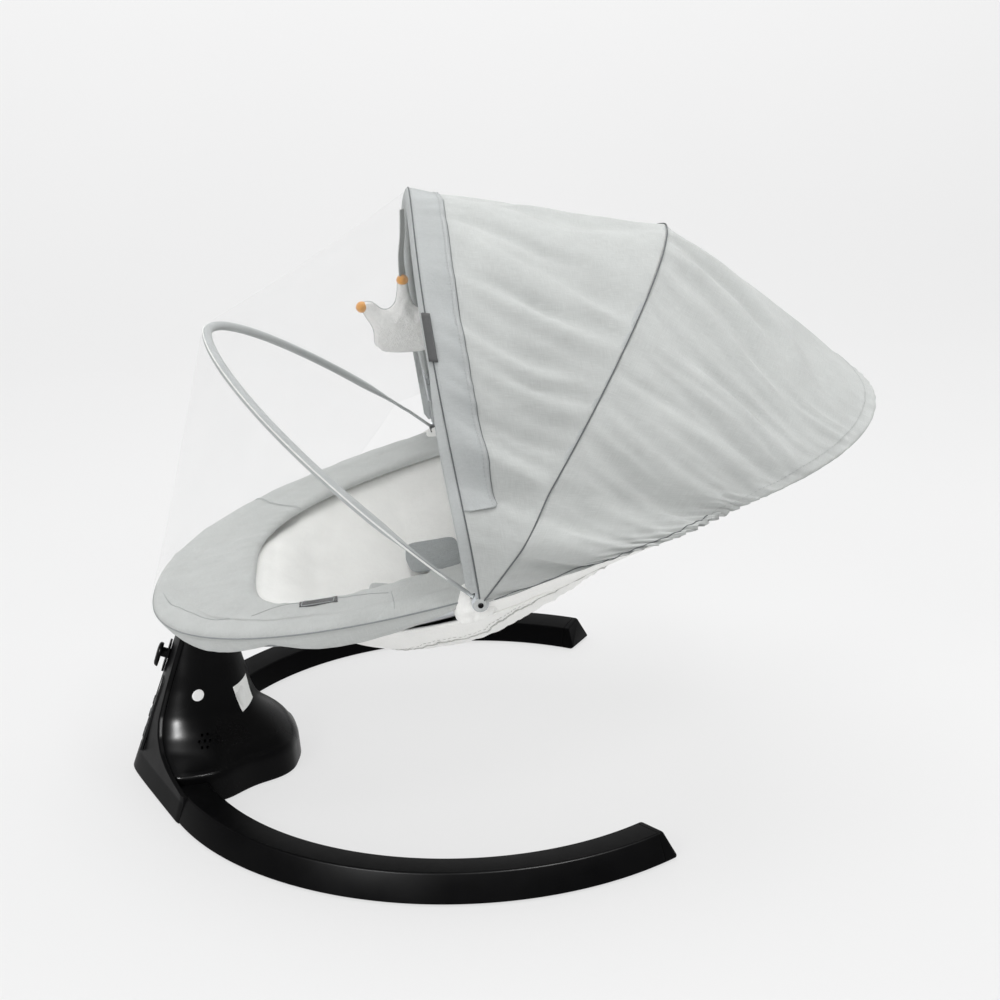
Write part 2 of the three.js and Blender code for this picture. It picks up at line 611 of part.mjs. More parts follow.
function buildSeat() {
  const tilt = (geometry) => geometry.rotateY(-SEAT_TILT);
  place('seat_cover', seatCover(), 'grey');
  const slingTop = (a, b) => slingDepth(a, b) - SLING_WALL;
  const sling = bowl(SLING_IN, slingTop, SLING_EDGE - SLING_WALL, SLING_WALL, 44, 7);
  place('seat_sling', sling, 'white');
  place('seat_pad', bowl(PAD_IN, padDepth, PAD_EDGE, PAD_WALL, 36, 7), 'white');

  place('foot_tube', tube(tubePath(PIVOT_DEG + 0.1, 360 - PIVOT_DEG - 0.1, 36), TUBE_R, 40, 10), 'steel');
  place('head_tube', tube(tubePath(-PIVOT_DEG + 0.1, PIVOT_DEG - 0.1, 36), TUBE_R, 40, 10), 'steel');
  buildHubs();
  buildBracket();
  buildHarness();
}

// The canopy hub: a sleeve round the joint of the two seat tubes, with the pin that the
// canopy's ribs and the net's bow turn on.
const PIN_R = 3;

function buildHubs() {
  for (const [name, side] of SIDES) {
    const block = box(14, 24, 20, PIVOT.x, side * (RIM.half - 9.5), PIVOT.z - 5);
    const pin = rodY(PIN_R, 19, PIVOT.x, side * (RIM.half + 4.5), PIVOT.z, 12);
    const bore = sleeve(side, TUBE_R + 0.8, 30);
    place(`${name}_canopy_hub`, cut(join(sleeve(side, 11, 17), block, pin), bore), 'black');
  }
}

// ---- seat bracket: the cradle that joins the seat's tube to the swing head ---------------
const HEAD = { low: TOWER_TOP + 1.5, high: TOWER_TOP + 10, r: 20 };
const RECLINE = { x: TOWER_X, z: TOWER_TOP + 24, eye: 6.5 };

function buildBracket() {
  const pinHole = rodY(4.4, 90, RECLINE.x, 0, RECLINE.z, 16);
  const earTop = RECLINE.z + 8;
  const ears = [17, -17].map((y) =>
    box(16, 6, earTop - HEAD.low, RECLINE.x, y, (earTop + HEAD.low) / 2));
  const disc = rodZ(HEAD.r, HEAD.high - HEAD.low, TOWER_X, 0, (HEAD.low + HEAD.high) / 2);
  const socket = rodZ(SHAFT_R + 0.2, 8, TOWER_X, 0, HEAD.low);
  place('swing_head', cut(join(disc, ...ears), pinHole, socket), 'black');
  place('recline_pin', rodY(4, 46, RECLINE.x, 0, RECLINE.z, 16), 'steel');

  const [footAlong] = rimAt(Math.PI, TUBE_IN);
  const tubeAt = onSeat(footAlong, 0, -TUBE_DOWN);
  const saddle = box(12, 56, 15, tubeAt.x + 2, 0, tubeAt.z - 3.4);
  const knuckle = rodY(RECLINE.eye, 24, RECLINE.x, 0, RECLINE.z, 16);
  const tongue = join(box(24, 24, 9, tubeAt.x + 17, 0, RECLINE.z), knuckle);
  const seatTube = tube(tubePath(160, 200, 8), TUBE_R + GAP, 10, 12);
  const relief = box(30, 70, 30, tubeAt.x, 0, tubeAt.z + 15);
  place('seat_bracket', cut(join(saddle, tongue), seatTube, pinHole, relief), 'black');
}

// ---- harness ---------------------------------------------------------------------------
// Each piece lies on the pad: where it starts and ends along the seat, how far its middle is
// from the seat's centre line, its width and its wall.
const HARNESS = {
  crotch: { start: -105, end: -52, off: 0, width: 34, wall: 4 },
  buckle: { start: -49, end: -30, off: 0, width: 30, wall: 8 },
  waist: { start: -62, end: -12, off: 62, width: 46, wall: 5 },
  shoulder: { start: 20, end: 150, off: 38, width: 34, wall: 4 },
};
const HARNESS_LIFT = 4;

function buildHarness() {
  const piece = ({ start, end, off, width, wall }, side = 1) =>
    strapOnPad(start, end, side * off, width, HARNESS_LIFT, wall);
  place('crotch_strap', piece(HARNESS.crotch), 'grey');
  place('harness_buckle', piece(HARNESS.buckle), 'mesh');
  for (const [name, side] of SIDES) {
    place(`${name}_waist_pad`, piece(HARNESS.waist, side), 'mesh');
    place(`${name}_shoulder_strap`, piece(HARNESS.shoulder, side), 'mesh');
  }
}

// ---- canopy and net ----------------------------------------------------------------------
// A point of an arch: t runs from one pivot (-90 degrees) over the top to the other (90).
function onArch(arch, t, inset) {
  const a = rad(arch.deg);
  const reach = (arch.reach - inset) * powered(Math.cos(t), arch.power);
  const off = arch.bulge * Math.sin(2 * t) ** 2;
  const across = (PIVOT.y - inset) * powered(Math.sin(t), arch.power);
  return V(PIVOT.x + reach * Math.cos(a) - off * Math.sin(a), across,
    PIVOT.z + reach * Math.sin(a) + off * Math.cos(a));
}

// Angles that space an arch's points evenly enough, stopping short of the pivots.
const archAngles = (stop, count) => steps(-stop, stop, count).map(rad);

const EYE = { r: 7, thick: 2.2, bar: 6 };
const LAYER = { bow: 259.8, mid: 262.6, front: 265.4 };   // where each rib's eyes lie along the pins
const RIB_STOP = 79;             // the ribs' wire ends at this angle of the arch; a flat bar goes on
const SKIN_STOP = 77;            // and the fabric and net end at this one

// A wire rib with a flat eye at each end, the eyes on their own layer of the pivot pin.
function rib(arch, inset, layer) {
  const points = archAngles(RIB_STOP, 36).map((t) => onArch(arch, t, inset));
  const eyes = SIDES.flatMap(([, side]) => {
    const y = side * layer;
    const foot = points[side > 0 ? points.length - 1 : 0];
    const dir = V(foot.x - PIVOT.x, 0, foot.z - PIVOT.z);
    const length = dir.length();
    const bar = box(length, EYE.thick, EYE.bar, length / 2, 0, 0)
      .rotateY(Math.atan2(-dir.z, dir.x)).translate(PIVOT.x, y, PIVOT.z);
    const link = rodY(RIB_R - 0.6, Math.abs(foot.y - y) + 2, foot.x, (foot.y + y) / 2, foot.z, 10);
    return [rodY(EYE.r, EYE.thick, PIVOT.x, y, PIVOT.z, 16), bar, link];
  });
  const holes = SIDES.map(([, side]) => rodY(PIN_R + 0.3, 6, PIVOT.x, side * layer, PIVOT.z, 16));
  return cut(join(tube(points, RIB_R, 44, 6), ...eyes), ...holes);
}

// A skin between two arches, each inset from its own outer line.
function skinBetween(a, b, insetA, insetB, wall, options) {
  const { from = 0, to = 1, count = 26, across = 3 } = options;
  const rows = archAngles(SKIN_STOP, count).map((t) => steps(from, to, across).map((s) =>
    onArch(a, t, insetA).lerp(onArch(b, t, insetB), s)));
  return sheet(rows, wall, V(PIVOT.x + 40, 0, PIVOT.z));
}

function netFoot(t) {
  const [along, across] = rimAt(Math.PI - t * 0.9, -2.5);
  return onSeat(along, across, -1);
}

const BOW_IN = 2;
const NET_WALL = 1;
const NET_OUT = 5;               // the net runs this far outside the bow's centre line

function buildCanopy() {
  const rear = skinBetween(ARCH.mid, ARCH.hem, 0, 0, SKIN, { from: 0.012, across: 4 });
  const front = skinBetween(ARCH.front, ARCH.mid, 0, 0, SKIN, { to: 0.988 });
  const netSpan = { from: 0.02, to: 0.985, count: 24 };
  place('mid_rib', rib(ARCH.mid, RIB_IN, LAYER.mid), 'steel');
  place('canopy_rear_panel', rear, 'grey');
  place('front_rib', rib(ARCH.front, RIB_IN, LAYER.front), 'steel');
  place('canopy_front_panel', front, 'grey');
  place('net_bow', rib(ARCH.bow, BOW_IN, LAYER.bow), 'grey');
  place('net_upper', skinBetween(ARCH.bow, ARCH.front, -NET_OUT, 0, NET_WALL, netSpan), 'white');

  const lower = archAngles(SKIN_STOP, 24).map((t) => steps(0.03, 1, 3).map((s) =>
    onArch(ARCH.bow, t, -NET_OUT).lerp(netFoot(t), s)));
  place('net_lower', sheet(lower, NET_WALL, V(0, 0, PIVOT.z - 60)), 'white');
}

// ---- hanging toy ---------------------------------------------------------------------------
const TOY = { x: -46, z: 432, top: 535 };

function buildToy() {
  const body = new THREE.SphereGeometry(1, 16, 10).scale(37, 15, 30).translate(TOY.x, 0, TOY.z);
  const horn = (x, lean) =>
    moved(new THREE.CylinderGeometry(5, 13, 30, 12), x, 0, TOY.z + 27, Math.PI / 2, lean, 0);
  place('toy', join(body, horn(TOY.x - 24, -0.45), horn(TOY.x + 4, 0), horn(TOY.x + 27, 0.45)), 'plush');
  const strapFoot = TOY.z + 45;
  const strap = box(1.2, 12, TOY.top - strapFoot, TOY.x + 4, 0, (TOY.top + strapFoot) / 2);
  place('toy_strap', strap, 'grey');
}

buildRing();
buildTower();
buildDrive();
buildSeat();
buildCanopy();
buildToy();

export default group;
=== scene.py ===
# Electric baby swing: the looks of each piece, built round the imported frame.
# Shapes are worked out in millimetres in the base ring's own frame and turned into metres
# of the shared frame by row().
import math
import bmesh
import bpy
import numpy as np
from mathutils import Matrix, Vector, noise
from mathutils.bvhtree import BVHTree


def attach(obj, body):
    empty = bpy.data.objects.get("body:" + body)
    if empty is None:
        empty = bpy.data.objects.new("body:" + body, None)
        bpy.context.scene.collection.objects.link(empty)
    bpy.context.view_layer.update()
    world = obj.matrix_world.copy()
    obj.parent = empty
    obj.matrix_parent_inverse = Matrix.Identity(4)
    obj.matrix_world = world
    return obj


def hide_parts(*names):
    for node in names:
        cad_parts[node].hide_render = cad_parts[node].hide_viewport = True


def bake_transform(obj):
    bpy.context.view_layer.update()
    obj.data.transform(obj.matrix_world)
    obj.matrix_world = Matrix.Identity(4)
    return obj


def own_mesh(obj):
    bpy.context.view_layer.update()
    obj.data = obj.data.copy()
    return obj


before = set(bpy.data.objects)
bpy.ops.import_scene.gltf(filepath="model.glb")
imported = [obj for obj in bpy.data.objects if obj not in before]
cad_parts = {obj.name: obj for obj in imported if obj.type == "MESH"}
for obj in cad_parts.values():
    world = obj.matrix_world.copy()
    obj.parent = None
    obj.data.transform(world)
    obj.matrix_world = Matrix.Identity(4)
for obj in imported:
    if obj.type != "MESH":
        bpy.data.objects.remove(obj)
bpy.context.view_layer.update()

# ---- dimensions, in millimetres from the ring's centre
CENTRE_SHIFT = -26.685
# the ring's section as (radius, height), the channel under it, and its ends in degrees from the foot end
FOOT_GAP, LEG_TALL, ROOT_TALL = 1.5, 26, 23.2
LEG_SECTION = [(300, FOOT_GAP), (289.9, LEG_TALL), (260.8, ROOT_TALL), (255.6, FOOT_GAP)]
LEG_CHANNEL = [(260, FOOT_GAP), (264.5, 20), (286.5, 22.5), (293.5, FOOT_GAP)]
LEG_START, LEG_END, CAP_END, TIP_LEAN = 25.2, 121.0, 124.0, 1.7
TOWER_X, TOWER_TOP, SHAFT_HOLE = -245, 150, 12.0
# the nose's face leans back by DRAFT and is rounded across; FASCIA_BACK is just behind its wall
NOSE_X, DRAFT, NOSE_CURVE, FASCIA_WALL, FASCIA_BACK, KNOB_UP = -326, 0.385, .455, 4.0, 4.4, 58
# the tower by height: the nose's half width, the column's radius, and the share of the toe that is left
BELL = [(-2, 140), (25, 140), (28, 112), (33, 88), (42, 68), (54, 54), (70, 45), (95, 39), (125, 35), (150, 33)]
COLUMN = [(0, 50), (26, 49), (52, 45), (67, 41.5), (92, 37), (118, 31), (150, 28)]
SWELL = [(0, 1), (25, .95), (33, .84), (42, .68), (50, .46), (57, .24), (66, .09), (78, .02), (90, 0)]
# the toe's reach at the floor, by degrees away from the head end
TOE = [(0, 84), (33, 83.5), (47, 76), (60, 74), (80, 86), (110, 78), (180, 62)]
# the release lever's section up its stem: (growth past the boss's radius, height off the face)
LEVER = [(-4.2, -4), (-3.4, -3.6), (-3.4, 7.2), (0, 7.3), (.6, 7.9), (.7, 9.8), (.2, 10.9), (-1.4, 11.6), (-4.5, 12),
         (-7.2, 12.1)]
# the seat's plane, whose head half curves up, and the superellipses of its rim and of the opening in it
TILT = math.radians(14.24)
SEAT_Z, BACK_RISE, BACK_BEND = 258, .125, 40
MID, FOOT, HEAD, HALF, POWER = 52.6, 351.7, 300, 254, 2.28
OPEN_FOOT, OPEN_HEAD, OPEN_HALF, OPEN_POWER = 250.6, 214, 170, 2.7
TUBE_R, TUBE_IN, TUBE_DOWN = 8, 24, 14.6
PIVOT = np.array([-1.0, 262.0, 255.0])
# the ribs' and the bow's flat ends are stacked on the pivot pins, and the cloth goes round them all
BOW_LAYER, MID_LAYER, FRONT_LAYER, CLOTH_LAYER = 259.8, 262.6, 265.4, 268.6
# arches from pivot to pivot: degrees up from the head end, reach, superellipse power, bulge out of plane
FRONT = dict(deg=96.2, reach=299.5, power=1.63, bulge=6.6)
MIDDLE = dict(deg=51.8, reach=326.5, power=1.57, bulge=3.3)
HEM = dict(deg=17.4, reach=398, power=3.0, bulge=-6.9)
BOW = dict(deg=141.5, reach=283, power=1.78, bulge=1.2)
ARCH_OF = {"seat": HEM, "canopy_mid": MIDDLE, "canopy_front": FRONT, "net": BOW}
RIB_IN = 9
# a point well inside the canopy, and the point that its hem is pulled in towards
INSIDE = np.array([PIVOT[0] + 40, 0, PIVOT[2]])
UNDER_HEM = np.array([PIVOT[0] + 60, 0, PIVOT[2] - 20])
# how deep the sling hangs along the seat's middle
SLING = [(-400, 30), (-200, 30), (-150, 68), (-70, 104), (-10, 112), (40, 97), (90, 77), (135, 58), (200, 40),
         (300, 28), (500, 28)]
SLING_EDGE, SLING_IN, SLING_WALL, PAD_IN, PAD_WALL, PAD_EDGE, FOOT_PANEL = 28, 16, 3, 74, 10, 7, 96
# pouches under the band, in degrees away from the foot end: (start, deepest, end, depth in millimetres)
POUCHES = [(20, 36, 52, 18), (50, 62, 80, 20)]


# ---- geometry helpers
def row(points):
    p = np.array(points, float)
    p[..., 0] += CENTRE_SHIFT
    return p / 1000


def around(count):
    """Angles once round a circle."""
    return np.linspace(0, 2 * np.pi, count, endpoint=False)


def stacked(*parts):
    """Coordinates, each a number or an array, put side by side."""
    return np.stack(np.broadcast_arrays(*parts), -1)


def travelled(points):
    """How far along the line each point lies."""
    return np.concatenate([[0], np.cumsum(np.linalg.norm(np.diff(np.asarray(points, float), axis=0), axis=1))])


def ruled(a, b, s):
    """The straight surface between two lines of points, at the shares s of the way across."""
    return a[:, None] * (1 - s)[None, :, None] + b[:, None] * s[None, :, None]


def table(rows, x):
    return np.interp(x, [r[0] for r in rows], [r[1] for r in rows])


def soft_table(rows, x, blur):
    """A table's value, its corners rounded off over about blur."""
    weights = [(-1.5, .13), (-.75, .22), (0, .3), (.75, .22), (1.5, .13)]
    return sum(w * table(rows, np.asarray(x, float) + k * blur) for k, w in weights)


def powered(v, power):
    return np.sign(v) * np.abs(v) ** (2 / power)


def smooth(lo, hi, x):
    t = np.clip((np.asarray(x, float) - lo) / (hi - lo), 0, 1)
    return t * t * (3 - 2 * t)


def unit(v):
    return v / np.maximum(np.linalg.norm(v, axis=-1, keepdims=True), 1e-9)


def wave(points, scale, seed=0.0):
    """Smooth noise from -1 to 1 at each point, scale in millimetres along each axis."""
    p = np.asarray(points, float) / np.asarray(scale, float)
    flat = p.reshape(-1, p.shape[-1])
    if flat.shape[1] == 2:
        flat = np.column_stack([flat, np.full(len(flat), seed)])
    return np.array([noise.noise(Vector(q)) for q in flat]).reshape(p.shape[:-1]) * 1.6


def new_object(name, verts, faces, flat=False):
    mesh = bpy.data.meshes.new(name)
    mesh.from_pydata([tuple(v) for v in verts], [], faces)
    bm = bmesh.new()
    bm.from_mesh(mesh)
    bmesh.ops.recalc_face_normals(bm, faces=bm.faces)
    bm.to_mesh(mesh)
    bm.free()
    if not flat:
        mesh.shade_smooth()
    obj = bpy.data.objects.new(name, mesh)
    bpy.context.scene.collection.objects.link(obj)
    return obj


def grid_faces(n, m, wrap_rows=False, wrap_cols=False, start=0):
    return [
        (start + i * m + j, start + (i + 1) % n * m + j, start + (i + 1) % n * m + (j + 1) % m,
         start + i * m + (j + 1) % m)
        for i in range(n if wrap_rows else n - 1)
        for j in range(m if wrap_cols else m - 1)
    ]


def grid(name, points, wrap_rows=False, wrap_cols=False, caps=False, weave=None):
    points = np.asarray(points, float)
    n, m = points.shape[:2]
    faces = grid_faces(n, m, wrap_rows, wrap_cols)
    if caps:
        faces += [tuple(range(m))[::-1], tuple((n - 1) * m + j for j in range(m))]
    obj = new_object(name, row(points).reshape(-1, 3), faces)
    if weave is not None:
        set_weave(obj, weave)
    return obj


def set_weave(obj, coords):
    """Stores cloth coordinates, in metres, that the fabric materials read."""
    flat = np.zeros((len(obj.data.vertices), 3), np.float32)
    coords = np.asarray(coords, float)
    coords = coords.reshape(-1, coords.shape[-1])
    flat[:len(coords), :coords.shape[1]] = coords / 1000
    layer = obj.data.attributes.new("weave", "FLOAT_VECTOR", "POINT")
    layer.data.foreach_set("vector", flat.ravel())


def modified(obj, kind, **settings):
    mod = obj.modifiers.new(kind, kind)
    for key, value in settings.items():
        setattr(mod, key, value)
    return mod


def applied(obj):
    """Turns the object's modifiers into plain mesh."""
    bpy.context.view_layer.update()
    dg = bpy.context.evaluated_depsgraph_get()
    mesh = bpy.data.meshes.new_from_object(obj.evaluated_get(dg), preserve_all_data_layers=True, depsgraph=dg)
    obj.modifiers.clear()
    obj.data = mesh
    return obj


def sharpen(obj, degrees=38):
    bm = bmesh.new()
    bm.from_mesh(obj.data)
    for edge in bm.edges:
        if len(edge.link_faces) == 2 and edge.calc_face_angle(0) > math.radians(degrees):
            edge.smooth = False
    bm.to_mesh(obj.data)
    bm.free()
    return obj


def spline(points, per=10):
    """A smooth open curve through the points."""
    p = np.asarray(points, float)
    p = np.vstack([2 * p[0] - p[1], p, 2 * p[-1] - p[-2]])
    t = np.linspace(0, 1, per, endpoint=False)[:, None]
    parts = []
    for a, b, c, d in zip(p, p[1:], p[2:], p[3:]):
        parts.append(.5 * (2 * b + (c - a) * t + (2 * a - 5 * b + 4 * c - d) * t ** 2
                           + (3 * b - a - 3 * c + d) * t ** 3))
    return np.vstack(parts + [p[-2:-1]])


def spaced(points, step):
    """The same line, its points an even step apart."""
    p = np.asarray(points, float)
    along = travelled(p)
    count = max(2, int(along[-1] / step) + 1)
    at = np.linspace(0, along[-1], count)
    return np.column_stack([np.interp(at, along, p[:, k]) for k in range(p.shape[1])])


def sweep(path, radius, sides=10, up=None, squash=1.0, closed=False):
    """Loops of a round or oval section along a path: radius across up, radius*squash along it."""
    p = np.asarray(path, float)
    if closed:
        after, before = np.roll(p, -1, 0), np.roll(p, 1, 0)
    else:
        after, before = np.vstack([p[1:], p[-1:]]), np.vstack([p[:1], p[:-1]])
    tangent = unit(after - before)
    if up is None:
        side = np.zeros_like(p)
        last = np.cross(tangent[0], [0.3, 0.2, 0.93])
        for i, t in enumerate(tangent):
            last = last - t * (last @ t)
            last = last / max(np.linalg.norm(last), 1e-9)
            side[i] = last
        up = np.cross(side, tangent)
    else:
        up = unit(np.asarray(up, float) - tangent * (np.asarray(up, float) * tangent).sum(-1, keepdims=True))
        side = np.cross(tangent, up)
    a = around(sides)[None, :, None]
    r = np.broadcast_to(np.asarray(radius, float).reshape(-1, 1, 1), (len(p), 1, 1))
    return p[:, None] + r * (np.cos(a) * side[:, None] + squash * np.sin(a) * up[:, None])


def cord(name, path, radius, sides=10, up=None, squash=1.0, closed=False):
    """A round or oval rod, thread or piping along a path."""
    loops = sweep(path, radius, sides, up, squash, closed)
    girth = np.arange(sides) * 2 * np.pi * float(np.mean(radius)) / sides
    weave = stacked(travelled(path)[:, None], girth[None])
    return grid(name, loops, wrap_rows=closed, wrap_cols=True, caps=not closed, weave=weave)


def stitches(name, paths, length=2.6, gap=1.5, radius=.35):
    """A row of sewing thread: short bars laid end to end along each path."""
    verts, faces = [], []
    for path in paths:
        fine = spaced(path, .5)
        step = int((length + gap) / .5)
        bar = int(length / .5)
        for i in range(0, len(fine) - bar, step):
            p = fine[[i, i + bar // 2, i + bar]]
            loops = sweep(p, [radius * .6, radius, radius * .6], 5)
            start = len(verts)
            verts += list(row(loops).reshape(-1, 3))
            faces += grid_faces(3, 5, wrap_cols=True, start=start)
            faces += [tuple(start + k for k in (4, 3, 2, 1, 0)), tuple(start + 10 + k for k in range(5))]
    return new_object(name, verts, faces)


def tree_of(obj):
    return BVHTree.FromObject(obj, bpy.context.evaluated_depsgraph_get())


def snapped(tree, points, lift=0.0, outward=None):
    """Each point moved to the surface nearest it, then lifted off along the outward side."""
    out = []
    for p in row(points):
        place, normal, _, _ = tree.find_nearest(Vector(p))
        if outward is not None and normal.dot(Vector(outward)) < 0:
            normal = -normal
        out.append(np.array(place + normal * lift / 1000) * 1000)
    out = np.array(out)
    out[:, 0] -= CENTRE_SHIFT
    return out


def rounded(corners, radii, count=5):
    """A closed polygon with its corners rounded."""
    pts, c = [], np.asarray(corners, float)
    for i, r in enumerate(radii):
        here, before, after = c[i], c[i - 1], c[(i + 1) % len(c)]
        u, v = unit(before - here), unit(after - here)
        half = math.acos(np.clip(u @ v, -1, 1)) / 2
        if r <= 0:
            pts.append(here)
            continue
        reach = r / math.tan(half)
        centre = here + unit(u + v) * r / math.sin(half)
        a, b = here + u * reach - centre, here + v * reach - centre
        for k in np.linspace(0, 1, count):
            pts.append(centre + unit(a * (1 - k) + b * k) * r)
    return np.array(pts)


def dress(obj, material, body=None, replaces=()):
    obj.data.materials.clear()
    obj.data.materials.append(material)
    if replaces:
        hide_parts(*replaces)
    if body:
        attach(obj, body)
    return obj


def blended(obj, first, second):
    """Works out each vertex's share between two arches by its angle at the pivot, but uses it for nothing; only bakes
    the object's transform into its mesh.
    """
    co = np.array([v.co for v in obj.data.vertices]) * 1000
    up, along = co[:, 2] - PIVOT[2], co[:, 0] - CENTRE_SHIFT - PIVOT[0]
    start, end = ARCH_OF[first]["deg"], ARCH_OF[second]["deg"]
    share = np.clip((np.degrees(np.arctan2(up, along)) - start) / (end - start), 0, 1)
    share = np.where(np.hypot(up, along) < 4, .5, share)
    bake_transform(obj)


def puffed(obj, voxel, cap, pressure=4.0, frames=20):
    """Stuffs a piece: remesh, blow up as cloth, hold each point within cap of where it was."""
    modified(obj, "REMESH", mode="VOXEL", voxel_size=voxel)
    applied(obj)
    rest = np.array([v.co for v in obj.data.vertices])
    mod = modified(obj, "CLOTH")
    mod.settings.use_pressure = True
    mod.settings.uniform_pressure_force = pressure
    mod.settings.effector_weights.gravity = 0
    mod.point_cache.frame_start, mod.point_cache.frame_end = 1, frames
    for f in range(1, frames + 1):
        bpy.context.scene.frame_set(f)
    dg = bpy.context.evaluated_depsgraph_get()
    moved = np.array([v.co for v in obj.evaluated_get(dg).data.vertices])
    obj.modifiers.clear()
    bpy.context.scene.frame_set(1)
    step = moved - rest
    length = np.linalg.norm(step, axis=1, keepdims=True)
    step *= np.minimum(1, cap / np.maximum(length, 1e-9))
    for v, p in zip(obj.data.vertices, rest + step):
        v.co = p
    modified(obj, "SUBSURF", levels=1, render_levels=1)
    applied(obj)
    obj.data.shade_smooth()
    return obj


# ---- materials
class Shader:
    """A principled material and the few node moves that its detail is made with."""

    def __init__(self, name, cloth=False, **fixed):
        self.material = bpy.data.materials.new(name)
        self.material.use_nodes = True
        self.tree = self.material.node_tree
        self.bsdf = self.tree.nodes["Principled BSDF"]
        for key, value in fixed.items():
            self.bsdf.inputs[key.replace("_", " ")].default_value = value
        # detail is laid out by the cloth's own coordinates or by the place on the object
        if cloth:
            self.at = self.add("Attribute", attribute_name="weave").outputs["Vector"]
        else:
            self.at = self.add("TexCoord").outputs["Object"]

    def add(self, kind, inputs=(), **settings):
        node = self.tree.nodes.new("ShaderNode" + kind)
        for key, value in settings.items():
            setattr(node, key, value)
        for key, value in dict(inputs).items():
            self.put(node.inputs[key], value)
        return node

    def put(self, socket, value):
        if isinstance(value, bpy.types.NodeSocket):
            self.tree.links.new(value, socket)
        else:
            socket.default_value = value

    def math(self, operation, *values):
        return self.add("Math", dict(enumerate(values)), operation=operation).outputs[0]

    def noise(self, scale, detail=2.0, rough=.5):
        """Noise at one scale, or at a scale of its own along each axis."""
        place = self.at
        if isinstance(scale, tuple):
            place, scale = self.add("VectorMath", {0: place, 1: scale}, operation="MULTIPLY").outputs[0], 1.0
        node = self.add("TexNoise", {"Vector": place, "Scale": scale, "Detail": detail, "Roughness": rough})
        return node.outputs["Fac"]

    def ramp(self, value, low, high, to_low=0.0, to_high=1.0):
        ends = {"From Min": low, "From Max": high, "To Min": to_low, "To Max": to_high}
        return self.add("MapRange", {"Value": value, **ends}).outputs["Result"]

    def tint(self, colour, amount):
        """The colour made lighter or darker by amount, which is about 1."""
        node = self.add("VectorMath", {0: colour if isinstance(colour, bpy.types.NodeSocket) else colour[:3]},
                        operation="SCALE")
        self.put(node.inputs["Scale"], amount)
        return node.outputs[0]

    def bump(self, height, distance, strength=1.0):
        node = self.add("Bump", {"Height": height, "Distance": distance, "Strength": strength})
        self.set("Normal", node.outputs[0])

    def set(self, name, value):
        self.put(self.bsdf.inputs[name], value)


def linear(code):
    """A hex colour as linear values."""
    parts = [int(code[i:i + 2], 16) / 255 for i in (0, 2, 4)]
    return tuple(p / 12.92 if p <= .04045 else ((p + .055) / 1.055) ** 2.4 for p in parts) + (1.0,)


def fabric(name, code, thread=.75, cloth=True, flecks=.07, slub=.06, mottle=.05, relief=.12, sheen=.25):
    """Plain weave with uneven yarns, pale flecks along the warp, and a slightly cloudy dye."""
    s = Shader(name, cloth, Roughness=.92, Sheen_Weight=sheen, Sheen_Roughness=.6, Specular_IOR_Level=.2)
    wobble = s.noise(260.0, 1.0)
    axes = s.add("SeparateXYZ", {0: s.at})
    turn = 2 * math.pi / (thread / 1000)
    waves = [s.math("SINE", s.math("MULTIPLY_ADD", axes.outputs[k], turn, s.math("MULTIPLY", wobble, 9.0)))
             for k in range(3)]
    over = s.math("MULTIPLY", waves[0], waves[1])
    if not cloth:
        over = s.math("ADD", over, s.math("MULTIPLY", waves[1], waves[2]))
    yarn_a = s.noise((90.0, 1500.0, 700.0), 2.0)
    yarn_b = s.noise((1500.0, 90.0, 700.0), 2.0)
    yarns = s.math("ADD", yarn_a, yarn_b)
    cloud = s.noise(28.0, 3.0)
    tone = s.math("ADD", s.ramp(yarns, .75, 1.25, 1 - slub, 1 + slub), s.ramp(cloud, .3, .7, -mottle, mottle))
    if flecks:
        streak = s.ramp(s.noise((620.0, 110.0, 300.0), 1.0), .66, .76)
        tone = s.math("MULTIPLY_ADD", streak, flecks, tone)
    tone = s.math("MULTIPLY_ADD", over, .018, tone)
    s.set("Base Color", s.tint(linear(code), tone))
    height = s.math("ADD", s.math("MULTIPLY", over, .5), yarns)
    s.bump(height, relief / 1000)
    return s.material


def trim(name, code, thread=.6, slub=.1, **more):
    """Cloth on a cord or a small pad, woven by its place on the object."""
    return fabric(name, code, thread, False, 0, slub, **more)


def plastic(name, code, rough=.36, grain=.02, dust=.003, shine=.1):
    """Moulded plastic: fine pebble grain, uneven gloss, a little wear on the edges and dust on top."""
    s = Shader(name, Specular_IOR_Level=shine)
    pebble = s.noise(1900.0, 3.0, .6)
    cloud = s.noise(22.0, 3.0)
    s.set("Roughness", s.ramp(cloud, .3, .7, rough - .05, rough + .06))
    shape = s.add("NewGeometry")
    wear = s.ramp(shape.outputs["Pointiness"], .54, .62, 0.0, dust)
    up = s.add("SeparateXYZ", {0: shape.outputs["Normal"]}).outputs[2]
    settled = s.math("MULTIPLY", s.ramp(up, .6, 1.0), s.ramp(s.noise(130.0, 4.0), .45, .75, 0.0, dust * .5))
    tone = s.add("VectorMath", {0: linear(code)[:3]}, operation="ADD")
    extra = s.math("ADD", wear, settled)
    s.put(tone.inputs[1], s.add("CombineXYZ", {0: extra, 1: extra, 2: extra}).outputs[0])
    s.set("Base Color", tone.outputs[0])
    s.bump(pebble, grain / 1000)
    return s.material


def metal(name, code, rough=.3, brushed=(60.0, 60.0, 2200.0)):
    """Drawn or turned metal: fine lines one way, uneven gloss."""
    s = Shader(name, Metallic=1.0)
    lines = s.noise(brushed, 3.0)
    s.set("Base Color", s.tint(linear(code), s.ramp(lines, .3, .7, .9, 1.06)))
    s.set("Roughness", s.ramp(s.noise(40.0, 2.0), .3, .7, rough - .07, rough + .1))
    s.bump(lines, .00001)
    return s.material


